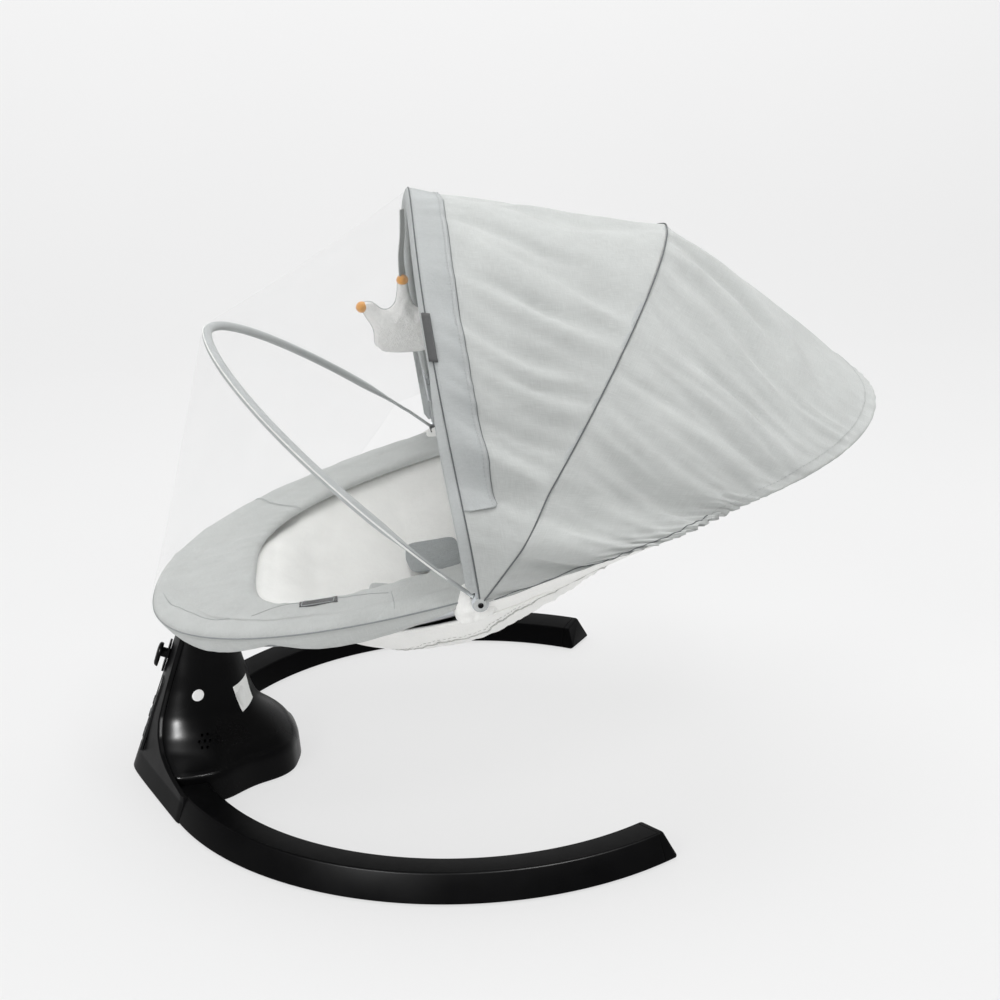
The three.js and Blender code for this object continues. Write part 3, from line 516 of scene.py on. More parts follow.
def tulle(name):
    """Fine white net: mostly holes, with the threads of a diamond mesh."""
    s = Shader(name, True, Roughness=.8, Sheen_Weight=.3, Specular_IOR_Level=.2)
    axes = s.add("SeparateXYZ", {0: s.at})
    turn = 2 * math.pi / .0022
    along = s.math("MULTIPLY", axes.outputs[0], turn)
    across = s.math("MULTIPLY", axes.outputs[1], turn)
    a = s.math("ABSOLUTE", s.math("SINE", s.math("ADD", along, across)))
    b = s.math("ABSOLUTE", s.math("SINE", s.math("SUBTRACT", along, across)))
    thread = s.ramp(s.math("MINIMUM", a, b), .0, .45, 1.0, 0.0)
    cloud = s.ramp(s.noise(14.0, 3.0), .3, .7, .02, .05)
    s.set("Alpha", s.math("MULTIPLY_ADD", thread, .08, cloud))
    s.set("Base Color", s.tint(linear("F4F5F5"), s.ramp(s.noise(60.0, 2.0), .3, .7, .97, 1.0)))
    s.bump(thread, .00008)
    return s.material


def plush(name, code, tuft=900.0):
    """Short pile: small tufts under a soft nap."""
    s = Shader(name, Roughness=1.0, Sheen_Weight=.7, Sheen_Roughness=.45, Specular_IOR_Level=.1)
    pile = s.add("TexVoronoi", {"Vector": s.at, "Scale": tuft}).outputs["Distance"]
    nap = s.noise(320.0, 4.0, .65)
    tone = s.math("ADD", s.ramp(nap, .3, .7, .93, 1.05), s.ramp(pile, 0, .8, .02, -.05))
    s.set("Base Color", s.tint(linear(code), tone))
    s.bump(s.math("ADD", nap, pile), .0006, .7)
    return s.material


def glass(name):
    """A dark window with faint smears."""
    s = Shader(name, Coat_Weight=.6)
    smear = s.noise(55.0, 3.0)
    s.set("Base Color", s.tint(linear("14181C"), s.ramp(smear, .3, .7, .9, 1.2)))
    s.set("Roughness", s.ramp(smear, .3, .7, .06, .16))
    return s.material


def paper(name, code, rough=.55):
    """Printed stock with a faint fibre."""
    s = Shader(name)
    fibre = s.noise(700.0, 4.0)
    s.set("Base Color", s.tint(linear(code), s.ramp(fibre, .3, .7, .97, 1.02)))
    s.set("Roughness", s.ramp(fibre, .3, .7, rough - .06, rough + .06))
    s.bump(fibre, .00002)
    return s.material


def board(name):
    """A circuit board's lacquer over its tracks."""
    s = Shader(name, Roughness=.5)
    tracks = s.ramp(s.add("TexWave", {"Vector": s.at, "Scale": 260.0, "Distortion": 3.0}).outputs["Fac"], .45, .55)
    s.set("Base Color", s.tint(linear("1F5A38"), s.ramp(tracks, 0, 1, .8, 1.3)))
    s.bump(tracks, .00004)
    return s.material


BLACK = plastic("gloss_black_plastic", "060607", .29, shine=.07)
LEG_BLACK = plastic("satin_black_moulding", "070708", .36, shine=.03)
DARK = plastic("satin_black_plastic", "141516", .5, .03)
RUBBER = plastic("black_rubber", "101010", .82, .06)
BUTTON = plastic("button_plastic", "24272A", .42, .02, .006, .3)
ALUMINIUM = metal("drawn_aluminium", "C9CCCE", .32)
STEEL = metal("turned_steel", "B4B7BA", .28, (2200.0, 60.0, 60.0))
SCREEN = glass("smoked_window")
GREY = fabric("light_grey_linen", "BABDBB")
GREY_SOLID = fabric("light_grey_linen_trim", "BEC1C0", cloth=False, flecks=.03)
LINING = fabric("off_white_cotton", "FBFBF8", thread=.5, flecks=0, slub=.03, mottle=.03, relief=.08)
MESH = trim("grey_spacer_mesh", "9EA3A4", 1.9, .12, relief=.5)
RIM_CORD = trim("grey_rim_cord", "858A8B")
WHITE_CORD = trim("white_edge_cord", "EDEEEC", slub=.05)
TAPE = trim("pale_grey_tape", "B2B6B6", .5, .04)
PIPING = trim("charcoal_piping", "4C5153")
THREAD = trim("grey_thread", "9DA2A2", .3)
WHITE_THREAD = trim("white_thread", "CFD0CC", .3)
TAG = trim("black_woven_tag", "232526", .4, .08, relief=.06)
TAG_EDGE = trim("grey_tag_border", "9DA2A2", .4, .06)
NET = tulle("white_tulle")
PLUSH = plush("grey_plush", "F2F2F0")
ORANGE = plush("orange_felt", "F0A848", 1500.0)
STICKER = paper("blank_white_sticker", "FFFFFF")
LABEL = paper("blank_silver_label", "F4F5F3", .35)
BOARD = board("circuit_board")


# ---- base ring
def ring_point(r, deg, side, z):
    a = np.radians(deg)
    return stacked(-r * np.cos(a), side * r * np.sin(a), z)


def build_legs():
    solid = rounded(LEG_SECTION, (1.2, 2.2, 2.8, 1.0))
    section = np.vstack([solid, LEG_CHANNEL])
    centre = solid.mean(0)
    lean = (solid[:, 1] - FOOT_GAP) / (LEG_TALL - FOOT_GAP)
    for name, side in (("left", 1), ("right", -1)):
        angles = np.linspace(LEG_START, LEG_END, 150)
        leg = grid(f"{name}_leg_shell", ring_point(section[None, :, 0], angles[:, None], side, section[None, :, 1]),
                   wrap_cols=True, caps=True)
        dress(sharpen(leg), LEG_BLACK, "base", [f"{name}_leg"])
        # the tip's near edge is eased, its far end leans and is rounded over
        outlines = [(LEG_END + .09 + .06 * math.sin(k * math.pi / 2), .975 + .025 * k) for k in np.linspace(0, 1, 5)]
        outlines += [(LEG_END + .15 + (CAP_END - .75 - TIP_LEAN * lean - LEG_END - .15) * k, 1)
                     for k in np.linspace(.1, 1, 6)]
        outlines += [(CAP_END - .75 - TIP_LEAN * lean + .7 * math.sin(k * math.pi / 2),
                      1 - .14 * (1 - math.cos(k * math.pi / 2))) for k in np.linspace(.15, 1, 7)]
        loops = []
        for deg, size in outlines:
            outline = centre + (solid - centre) * size
            loops.append(ring_point(outline[:, 0], deg, side, outline[:, 1]))
        cap = grid(f"{name}_leg_tip", np.array(loops), wrap_cols=True, caps=True)
        dress(sharpen(cap, 50), LEG_BLACK, "base", [f"{name}_leg_end_cap"])


# ---- tower
def prow_x(y, z, inset):
    """How far forward the nose's leaning, rounded face stands."""
    nose = 12 + 33 * np.clip((z - 20) / 45, 0, 1)
    return NOSE_X + inset + DRAFT * z + NOSE_CURVE * (np.hypot(y, nose) - nose)


def reach_to_prow(x0, deg, z, inset):
    """How far a ray from (x0, 0) goes before it meets the prow's face."""
    c, s = np.cos(np.radians(deg)), np.sin(np.radians(deg))
    lo, hi = np.zeros(np.broadcast(deg, z).shape), np.full(np.broadcast(deg, z).shape, 400.0)
    for _ in range(32):
        mid = (lo + hi) / 2
        inside = x0 + mid * c > prow_x(mid * s, z, inset)
        lo, hi = np.where(inside, mid, lo), np.where(inside, hi, mid)
    return lo


def column_r(deg, z, inset=0.0):
    """The tower's radius about its shaft, by direction from the head end and by height."""
    away = np.abs((np.asarray(deg) + 180) % 360 - 180)
    column = soft_table(COLUMN, np.maximum(z, 0), 4)
    r = column + (soft_table(TOE, away, 6) - column) * soft_table(SWELL, np.maximum(z, 0), 2.6)
    # the flanks sweep forward to meet the fascia's edges, and the toe stands on a low plinth
    level = np.maximum(z, 30)
    half = np.minimum(soft_table(BELL, level, 2), 96) - 1.5
    ahead = prow_x(half, level, 1.5) - TOWER_X
    edge, turn = np.hypot(ahead, half), np.degrees(np.arctan2(half, ahead))
    r = r + (np.maximum(edge, r) - r) * smooth(0, 1, (away - 68) / (turn - 68))
    r = r + 1.5 * smooth(31, 29.6, z) * smooth(10, 25, away) * smooth(105, 80, away)
    return np.minimum(r - inset, reach_to_prow(TOWER_X, deg, z, FASCIA_BACK + inset))


def on_face(across, up, lift):
    """A point of the nose's leaning face, up along it and lifted off it."""
    lean = math.atan(DRAFT)
    return np.array([NOSE_X + DRAFT * 62 + up * math.sin(lean) - lift * math.cos(lean), -across,
                     62 + up * math.cos(lean) + lift * math.sin(lean)])


def on_knob(across, up, lift):
    return on_face(across, up + KNOB_UP, lift)


def on_column(r, deg, z):
    return stacked(TOWER_X + r * np.cos(np.radians(deg)), r * np.sin(np.radians(deg)), z)


def solid_of(name, loops):
    """A closed solid through the loops, with both its ends capped."""
    return grid(name, np.array(loops), wrap_cols=True, caps=True)


def prism(outline, low, high, at):
    """A cutting tool: the outline, carried from low to high."""
    return solid_of("tool", [[at(x, y, z) for x, y in outline] for z in (low, high)])


def bored(obj, tools):
    """The object with the tools cut out of it."""
    for tool in tools:
        modified(obj, "BOOLEAN", operation="DIFFERENCE", object=tool, solver="EXACT")
        applied(obj)
        bpy.data.objects.remove(tool)
    return obj


def disc(r, count=20):
    return np.column_stack([r * np.cos(around(count)), r * np.sin(around(count))])


def panel(across, up, corner, count):
    """A rounded rectangle, by half its size each way."""
    return rounded([(-across, -up), (across, -up), (across, up), (-across, up)], (corner,) * 4, count)


def build_tower():
    deg = np.linspace(0, 360, 200, endpoint=False)
    heights = np.concatenate([[FOOT_GAP, 1.8, 2.6], np.linspace(4, 147.6, 84)])
    outer = [(z, column_r(deg, z) - (.8 if z < 1.6 else .3 if z < 2 else 0)) for z in heights]
    top = column_r(deg, 149.0)
    edge = [(148.9, top - .25), (149.6, top - .8), (TOWER_TOP, top - 1.9), (TOWER_TOP, SHAFT_HOLE + .6),
            (149.6, SHAFT_HOLE), (147, SHAFT_HOLE)]
    inner = [(z, np.maximum(column_r(deg, z, 3), 5)) for z in (147, 130, 110, 90, 70, 55, 40, 25, 10, FOOT_GAP)]
    loops = [on_column(r, deg, z) for z, r in outer + edge + inner]
    shell = grid("tower_housing", np.array(loops), wrap_rows=True, wrap_cols=True)
    tools = [prism(panel(24, 46, 4, 5), -14, -2, on_face), prism(disc(6.6), -16, 4, on_knob)]
    # the speaker's seven holes, and the power inlet's on the far side
    for hole in np.vstack([[0, 0], disc(5, 6)]):
        tools.append(prism(disc(1.2, 12) + hole, -100, -35, lambda x, y, z: np.array([-248 + x, z, 51.8 + y])))
    tools.append(prism(disc(4.4, 24), 45, 100, lambda x, y, z: np.array([-239 + x, z, 40 + y])))
    bored(shell, tools)
    dress(sharpen(shell, 45), BLACK, "base", ["tower_shell"])

    # the block of the ring's section behind the fascia, between the two legs
    block = []
    for d in np.linspace(-LEG_START + .1, LEG_START - .1, 60):
        far_low, far_high = (reach_to_prow(0, np.array([180 - d]), np.array([z]), FASCIA_BACK)[0]
                             for z in (FOOT_GAP, ROOT_TALL))
        corners = [(far_low, FOOT_GAP), (far_high, ROOT_TALL), (262.2, ROOT_TALL), (255.2, FOOT_GAP)]
        corners = rounded(corners, (.6, 1, 2.2, .8), 4)
        block.append(ring_point(corners[:, 0], d, 1, corners[:, 1]))
    dress(sharpen(solid_of("tower_root_block", block), 50), LEG_BLACK, "base")
    build_fascia()
    build_labels()


def build_fascia():
    flare = LEG_START - .15
    rows = []
    for z in np.concatenate([[FOOT_GAP, 1.9, 2.8], np.linspace(4, 147, 110), [148.4, 149.3, 149.8, TOWER_TOP]]):
        wedge = reach_to_prow(0, np.array([180 - flare]), np.array([min(z, 60)]), 0)[0] * math.sin(math.radians(flare))
        half = min(float(soft_table(BELL, z, .9)), wedge)
        t = np.linspace(-1, 1, 81)
        y = half * np.sign(t) * np.abs(t) ** 1.15
        # the edge is rounded over by a radius of 1.1
        rim = np.minimum(half - np.abs(y), min(z - FOOT_GAP, TOWER_TOP - z) + .35)
        over = 1.1 * (1 - np.sqrt(np.clip(1 - (1 - np.clip(rim / 1.1, 0, 1)) ** 2, 0, 1)))
        rows.append(np.vstack([stacked(prow_x(y, z, over), y, z), stacked(prow_x(y, z, FASCIA_WALL), y, z)[::-1]]))
    face = solid_of("front_face", rows)
    bored(face, [prism(panel(22.4, 40.4, 6, 8), -10, 10, on_face), prism(disc(5.4), -10, 10, on_knob)])
    dress(sharpen(face, 40), LEG_BLACK, "base", ["front_fascia"])
    loop = np.array([on_face(x, y, 0) for x, y in panel(22.8, 40.8, 6.4, 10)])
    loop[:, 0] = prow_x(loop[:, 1], loop[:, 2], .1)
    dress(cord("panel_bezel", loop, .55, 8, closed=True), DARK, "base")


def build_labels():
    """A blank round sticker and a blank rating label, laid on the column."""
    for name, material, outline, lift in (
        ("round_sticker", STICKER, [(x / 47 * 57.3 - 99.5, z + 90.4) for x, z in disc(5.3, 40)], .22),
        ("rating_label", LABEL, label_outline(), .2),
    ):
        centre = np.mean(outline, 0)
        loops = []
        for share, up in ((1.0, -.1), (1.0, lift - .05), (.97, lift), (.66, lift), (.33, lift), (.02, lift)):
            pts = centre + (np.array(outline) - centre) * share
            loops.append(on_column(column_r(pts[:, 0], pts[:, 1]) + up, pts[:, 0], pts[:, 1]))
        dress(solid_of(name, loops), material, "base")


def build_knob():
    """A thumb lever: a round boss on the stem that goes through the fascia, with a tapered tail."""
    turn = around(72)
    below = np.minimum(np.sin(turn), 0)
    loops = []
    for grow, lift in LEVER:
        boss = max(.4, 8.2 + grow)
        tail = 7.5 * (grow > -3) * (1 - .35 * max(0, lift - 8) / 5)
        x = boss * np.cos(turn) * (1 - .3 * np.abs(below) * (tail > 0))
        y = boss * np.sin(turn) + tail * below
        loops.append([on_knob(u, v, lift) for u, v in zip(x, y)])
    dress(sharpen(solid_of("release_lever", loops), 50), BLACK, "release_knob", ["release_knob"])


def label_outline():
    """The rating label's corners as direction round the column and height, with points along its sides."""
    corners = [(-13, 94), (-19, 71), (-46, 65), (-50, 89.5)]
    return [tuple(np.array(a) * (1 - k) + np.array(b) * k)
            for a, b in zip(corners, corners[1:] + corners[:1]) for k in np.linspace(0, 1, 8, endpoint=False)]


# ---- seat
def on_seat(along, across, up):
    """A point by its place on the reclined seat's plane, whose head half curves up."""
    along, up = np.asarray(along, float), np.asarray(up, float)
    rise = np.where(along > 0, BACK_RISE * (np.hypot(along, BACK_BEND) - BACK_BEND), 0)
    return stacked(along * math.cos(TILT) - up * math.sin(TILT), np.asarray(across, float),
                   SEAT_Z + along * math.sin(TILT) + up * math.cos(TILT) + rise)


def rim_at(angle, inset, foot_power=None):
    """The rim's outline in plan, drawn in by inset: a superellipse, longer towards the foot."""
    c, s = np.cos(angle), np.sin(angle)
    reach = np.where(c > 0, HEAD, FOOT) - inset
    power = np.where(c > 0, POWER, foot_power or POWER)
    return np.stack([MID + reach * powered(c, power), (HALF - inset) * powered(s, power)], -1)


def opening_at(angle):
    """The opening inside the padded band: squarer at the near foot corner, rounder at the far one."""
    out = rim_at(angle, 0) - (MID, 0)
    out = out / np.linalg.norm(out, axis=-1, keepdims=True)
    foot = out[..., 0] < 0
    power = np.where(foot, np.where(out[..., 1] < 0, 4.2, 2.5), OPEN_POWER)
    reach = np.where(foot, OPEN_FOOT, OPEN_HEAD)
    r = ((np.abs(out[..., 0]) / reach) ** power + (np.abs(out[..., 1]) / OPEN_HALF) ** power) ** (-1 / power)
    return out * r[..., None] + (MID, 0)


def half_width(along, inset):
    """Half the rim's width at a place along the seat."""
    reach = np.where(along > MID, HEAD, FOOT) - inset
    share = np.minimum(1, np.abs(along - MID) / reach)
    return (HALF - inset) * (1 - share ** POWER) ** (1 / POWER)


def pouch_depth(angle):
    """How far the cover's skirt hangs below the band, by angle."""
    away = np.abs(np.degrees(angle) - 180)
    depths = [np.zeros_like(away)]
    for start, low, end, depth in POUCHES:
        share = np.where(away < low, (away - start) / (low - start), (end - away) / (end - low))
        depths.append(depth * np.sin(np.clip(share, 0, 1) * np.pi / 2) ** .8)
    return np.max(depths, 0)


# the band's section across its top, from the rim's edge and from the opening: (distance in, height off the plane)
BAND_OUT = [(0, -3), (.7, -1.4), (1.8, 0), (3.6, 1.2), (7, 2.3), (12, 2.9), (19, 2.8), (28, 1.6), (40, .4), (60, .1)]
BAND_IN = [(0, -4.2), (.6, -2.2), (2, -.5), (4.5, .7), (9, 1.4), (16, 1.3), (28, .5), (45, 0)]


def build_cover():
    count = 420
    angle = around(count)
    edge, opening = rim_at(angle, 0), opening_at(angle)
    width = np.linalg.norm(edge - opening, axis=1)
    cols, ups = [], []

    def add(share, up):
        """One loop of the band, at a share of the way from the rim to the opening."""
        cols.append(edge + (opening - edge) * share[:, None])
        ups.append(up + np.zeros(count))

    for d in (0, .7, 1.8, 3.6, 6, 9, 13, 18, 23, 28):
        add(d / width, table(BAND_OUT, d))
    for share in (.2, .4, .6, .8):
        add((28 + (width - 45 - 28) * share) / width, .35)
    for d in (45, 34, 26, 20, 15, 11, 8, 5.5, 3.5, 2, .8, 0):
        add((width - d) / width, table(BAND_IN, d))
    top = len(cols)
    # soft creases: across the band near its opening, and long shallow ones along the foot panel
    away = np.abs(np.degrees(angle) - 180)
    pucker = .8 * wave(stacked(np.degrees(angle) * 4.2, 0), (9, 9), 2)
    for k, place in enumerate(cols):
        ripple = .9 * wave(place, (24, 24), 3) + .35 * wave(place, (9, 9), 8)
        foot = .9 * wave(place, (60, 11), 5) * smooth(42, 18, away)
        pull = smooth(.5, 1, k / top) * smooth(0, 6, top - k)
        ups[k] = ups[k] + (ripple + foot + pucker * pull) * smooth(0, 5, k) * smooth(0, 3, top - 1 - k)
    # in through the opening and back under the band
    for d, up in ((.3, -5.2), (2.5, -5.8), (10, -6)):
        add((width - d) / width, up)
    for share in (.75, .5, .25):
        add(share * (width - 12) / width + 10 / width, -6)
    skirt = pouch_depth(angle)
    wide = np.minimum(1, skirt / 12)
    drop = -8 - skirt * .62
    fold = .8 * wave(stacked(np.degrees(angle) * 4, 0), (10, 10), 6) * wide
    for d0, d1, up in ((5, 9, -6.4), (4.4, 8.4, -7 - skirt * .45), (3.6, 7, drop + .8), (2.4, 5.4, drop - .2),
                       (1.2, 3.4, drop + .7), (.6, 1.2, -4.6 - skirt * .5), (.1, .1, -4.2 - skirt * .12)):
        add((d0 + (d1 - d0) * wide + fold) / width, up)
    flat, up = np.array(cols).transpose(1, 0, 2), np.array(ups).T
    weave = flat.copy()
    weave[:, -7:, 0] = np.degrees(angle)[:, None] * 5.2
    weave[:, -7:, 1] = up[:, -7:]
    points = on_seat(flat[..., 0], flat[..., 1], up)
    cover = grid("padded_rim_cover", points, wrap_rows=True, wrap_cols=True, weave=weave)
    dress(cover, GREY, "seat", ["seat_cover"])
    sew_cover(tree_of(cover))


def sew_cover(tree):
    """The rim's piping, the seams that join its panels, and a blank woven tag on the near band."""
    def laid(flat, lift):
        return snapped(tree, on_seat(flat[:, 0], flat[:, 1], 4), lift, (0, 0, 1))

    piping = rim_at(np.radians(np.linspace(97, 263, 500)), .3)
    dress(cord("rim_piping", on_seat(piping[:, 0], piping[:, 1], -2.6), .75, 8), RIM_CORD, "seat")
    seams = [[(-204, 182), (-186, 158), (-168, 130), (-146, 104)],
             [(-286, -31), (-277, -62), (-263, -87), (-238, -129), (-215, -146)],
             [(-196, -152), (-169, -151), (-117, -172), (-74, -192)],
             [(-72, -190), (-71, -205), (-70, -222), (-70, -236)]]
    parts = [cord("seam", laid(spaced(spline(seam), 1.5), .2), .26, 6) for seam in seams]
    dress(joined("rim_seams", parts), THREAD, "seat")
    beside = spaced(spline([(-205, 180), (-187, 156), (-169, 128), (-147, 102)]), 1.5)
    dress(stitches("rim_topstitch", [laid(beside, .15)]), THREAD, "seat")
    u, v = np.linspace(0, 1, 13)[:, None], np.linspace(0, 1, 6)[None]
    tag = stacked(-152 + 34 * u, -155.5 - 12.5 * u - 13 * v)
    piece = grid("blank_rim_tag", laid(tag.reshape(-1, 2), .45).reshape(13, 6, 3), weave=tag)
    modified(piece, "SOLIDIFY", thickness=.0006, offset=0)
    dress(applied(piece), TAG, "seat")
    border = np.array([(-149.5, -159), (-121, -169.5), (-121.6, -179), (-150, -168.5), (-149.5, -159)])
    dress(cord("blank_rim_tag_border", spaced(laid(border, .85), 1.5), .35, 6), TAG_EDGE, "seat")


def joined(name, objects):
    """One object out of several."""
    verts, faces = [], []
    for o in objects:
        start = len(verts)
        verts += [v.co.copy() for v in o.data.vertices]
        faces += [tuple(start + i for i in p.vertices) for p in o.data.polygons]
        bpy.data.objects.remove(o)
    return new_object(name, verts, faces)


def bowl_at(inset, angle, share):
    """Plan position on a bowl: (along, across) at an angle and a share of the way out to its edge."""
    edge = rim_at(angle, inset, 4.6 if inset > SLING_IN else POWER)
    foot_share = (FOOT - max(inset, FOOT_PANEL)) / (FOOT - inset)
    along = np.where(edge[..., 0] < MID, MID + (edge[..., 0] - MID) * foot_share, edge[..., 0])
    tuck = 1 - .07 * smooth(0, 140, edge[..., 0])
    return MID + (along - MID) * share * tuck, edge[..., 1] * share * tuck


def bowl(name, inset, depth, edge_depth, wall, count, rings, crease):
    """A bowl of even wall that hangs from the seat's rim: its top face, its edge and its underside."""
    angle = around(count)
    shares = np.sin(np.linspace(.03, 1, rings) * np.pi / 2) ** .9
    a, b = bowl_at(inset, angle[None], shares[:, None])
    lift = np.minimum(1, (1 - shares) / .2)[:, None] ** .6
    down = edge_depth + (depth(a, b) - edge_depth) * lift + crease(a, b, shares[:, None], angle[None])
    turn = [on_seat(a[-1] + (a[-1] - MID) * .004, b[-1] * 1.004, -down[-1] - wall * k) for k in (.3, .7)]
    points = np.concatenate([on_seat(a, b, -down), turn, on_seat(a, b, -down - wall)[::-1]])
    plan = stacked(a, b)
    weave = np.concatenate([plan, [plan[-1]] * 2, plan[::-1]])
    return grid(name, points, wrap_cols=True, caps=True, weave=weave)


def hollow(a, b, inset):
    """1 along the seat's middle line, falling to 0 at its sides."""
    return 1 - np.minimum(1, np.abs(b) / np.maximum(1, half_width(a, inset))) ** 2.2


def sling_depth(a, b):
    return SLING_EDGE + (soft_table(SLING, a, 14) - SLING_EDGE) * hollow(a, b, SLING_IN) - SLING_WALL


def pad_depth(a, b):
    middle = np.maximum(8, soft_table(SLING, a, 14) - SLING_WALL - PAD_WALL - 6)
    return PAD_EDGE + (middle - PAD_EDGE) * hollow(a, b, PAD_IN)


# where the sling's gathered seam runs, as a share of the way out, by angle from the head end
SLING_SEAM = [(0, .74), (50, .78), (60, .9), (80, .95), (90, .955), (95, .91), (101, .83), (107, .79), (115, .82),
              (140, .74), (180, .62)]


def sling_seam(angle):
    return soft_table(SLING_SEAM, np.degrees(np.arccos(np.cos(angle))), 3)


def build_bowls():
    def gathers(a, b, share, angle):
        """The band inside the seam is gathered on to it."""
        past = share - sling_seam(angle)
        band = smooth(-.3, -.06, past) * smooth(.005, -.015, past)
        pleat = wave(stacked(np.degrees(angle) * 4.4, share * 90), (5.5, 60), 1)
        return (1.2 + 2.2 * pleat) * band + .8 * wave(stacked(a, b), (34, 34), 4) * smooth(1, .9, share)

    def quilting(a, b, share, angle):
        """The pad is quilted in oblongs."""
        puff = np.abs(np.sin(np.pi * a / 62)) ** .35 + np.abs(np.sin(np.pi * (b + 36) / 72)) ** .35
        return (1.7 * (2 - puff) + .5 * wave(stacked(a, b), (22, 22), 2)) * smooth(1, .9, share)

    sling = bowl("hanging_sling", SLING_IN, sling_depth, SLING_EDGE - SLING_WALL, SLING_WALL, 420, 64, gathers)
    dress(sling, LINING, "seat", ["seat_sling"])
    sew_sling(tree_of(sling))
    build_skirt()
    pad = bowl("quilted_seat_pad", PAD_IN - 2, pad_depth, PAD_EDGE, PAD_WALL - 1.5, 260, 60, quilting)
    dress(pad, LINING, "seat", ["seat_pad"])


def sew_sling(tree):
    """The seam that the sling's edge band is gathered on to, and the stitches beside it."""
    angle = np.radians(np.linspace(0, 360, 900))
    share = sling_seam(angle) + .006 * wave(stacked(np.degrees(angle) * 4.4, 0), (9, 9), 3)

    def under(share, lift):
        a, b = bowl_at(SLING_IN, angle, share)
        return snapped(tree, on_seat(a, b, -sling_depth(a, b) - SLING_WALL - 2), lift, (0, 0, -1))

    dress(cord("sling_gathered_seam", under(share, .15), .75, 6), WHITE_THREAD, "seat")
    thread = stitches("sling_gather_stitches", [under(share + .02, .1)], 3.2, 2.2, .35)
    dress(thread, WHITE_THREAD, "seat")


def build_skirt():
    """The side skirt closes the gap between the canopy's hem and the sling, over the head tube."""
    top = on_cloth(HEM, spread(300, 89.97))
    top = top + unit(UNDER_HEM - top) * 2.4 - [0, 0, .8]
    round_edge = np.linspace(-np.pi, np.pi, 1441)
    a, b = bowl_at(SLING_IN, round_edge, .94)
    bearing = np.unwrap(np.arctan2(b, a - MID))
    at = np.interp(np.arctan2(top[:, 1], top[:, 0] / math.cos(TILT) - MID), bearing, round_edge)
    a, b = bowl_at(SLING_IN, at, .94)
    lip = SLING_EDGE - SLING_WALL
    foot = on_seat(a, b, -(lip + (sling_depth(a, b) - lip) * .3 ** .6) - SLING_WALL - .8)
    k = np.linspace(0, 1, 16)
    points = ruled(top, foot, k)
    weave = stacked(arc_lengths(top)[:, None], k * 50)
    pull = np.sin(np.pi * k) * (1.2 + .9 * wave(weave, (16, 60), 61))
    skirt = skin_object("sling_side_skirt", points + grid_normals(points) * pull[..., None], weave, .8)
    dress(skirt, LINING, "seat")


def build_tubes():
    for name, start, end in (("foot_tube_round", 96.97, 263.03), ("head_tube_round", -96.77, 96.77)):
        path = rim_at(np.radians(np.linspace(start, end, 160)), TUBE_IN)
        tube = cord(name, on_seat(path[:, 0], path[:, 1], -TUBE_DOWN), TUBE_R, 20)
        dress(sharpen(tube, 60), ALUMINIUM, "seat", ["foot_tube" if "foot" in name else "head_tube"])


def pillow(name, start, end, y, width, lift, thick, taper, material, replaces=()):
    """A flat pad that follows the seat pad: superellipse outline, crowned top, pulled-in edges."""
    turn = around(18)
    loops = []
    for u in np.linspace(-1, 1, 30):
        outline = (1 - np.abs(u) ** 6) ** (1 / 3)
        a = (start + end) / 2 + (end - start) / 2 * u
        across = y + max(.02, outline) * width / 2 * (1 + taper * u) * powered(np.cos(turn), 3.2)
        tall = max(.06, outline) * thick / 2 * (1 + .1 * np.cos(np.pi * u / 2))
        loops.append(on_seat(a, across, lift + thick / 2 + tall * powered(np.sin(turn), 1.6) - pad_depth(a, across)))
    piece = solid_of(name, loops)
    modified(piece, "SUBSURF", levels=1, render_levels=1)
    applied(piece).data.shade_smooth()
    return dress(piece, material, "seat", replaces)


def build_harness():
    crotch = pillow("crotch_pad", -105, -52, 0, 34, 3.4, 5, -.12, GREY_SOLID, ["crotch_strap"])
    pillow("buckle_shell", -49, -30, 0, 30, 3.8, 8.4, .1, BUTTON, ["harness_buckle"])
    pillow("buckle_button", -43, -36, 0, 12, 11.6, 2.2, 0, DARK)
    for name, side in (("left", 1), ("right", -1)):
        waist = pillow(f"{name}_waist_cushion", -66, -10, side * 64, 48, 3.4, 6.4, 0, MESH,
                       replaces=[f"{name}_waist_pad"])
        shoulder = pillow(f"{name}_shoulder_cushion", 20, 150, side * 38, 34, 3.4, 5.6, .08, MESH,
                          replaces=[f"{name}_shoulder_strap"])
        pillow(f"{name}_waist_webbing", -46, -33, side * 28, 28, 4.0, 2.0, 0, TAPE)
        pillow(f"{name}_adjuster", -47, -32, side * 34, 12, 4.6, 4.0, 0, GREY_SOLID)


# ---- canopy, net and bow
def on_arch(arch, t, inset=0.0):
    """A point of an arch: a superellipse from pivot to pivot in its own plane, slightly bulged."""
    a = math.radians(arch["deg"])
    t = np.asarray(t, float)
    reach = (arch["reach"] - inset) * powered(np.cos(t), arch["power"])
    off = arch["bulge"] * np.sin(2 * t) ** 2
    return stacked(PIVOT[0] + reach * math.cos(a) - off * math.sin(a),
                   (PIVOT[1] - inset) * powered(np.sin(t), arch["power"]),
                   PIVOT[2] + reach * math.sin(a) + off * math.cos(a))


def on_cloth(arch, t):
    """The arch's line on the cloth, which spreads outside the ribs' flat ends at the pivots."""
    points = on_arch(arch, t)
    turn = np.degrees(np.abs(t))
    width = np.maximum(np.abs(points[..., 1]), CLOTH_LAYER)
    points[..., 1] += np.sign(t) * (width - np.abs(points[..., 1])) * smooth(66, 77, turn)
    return points


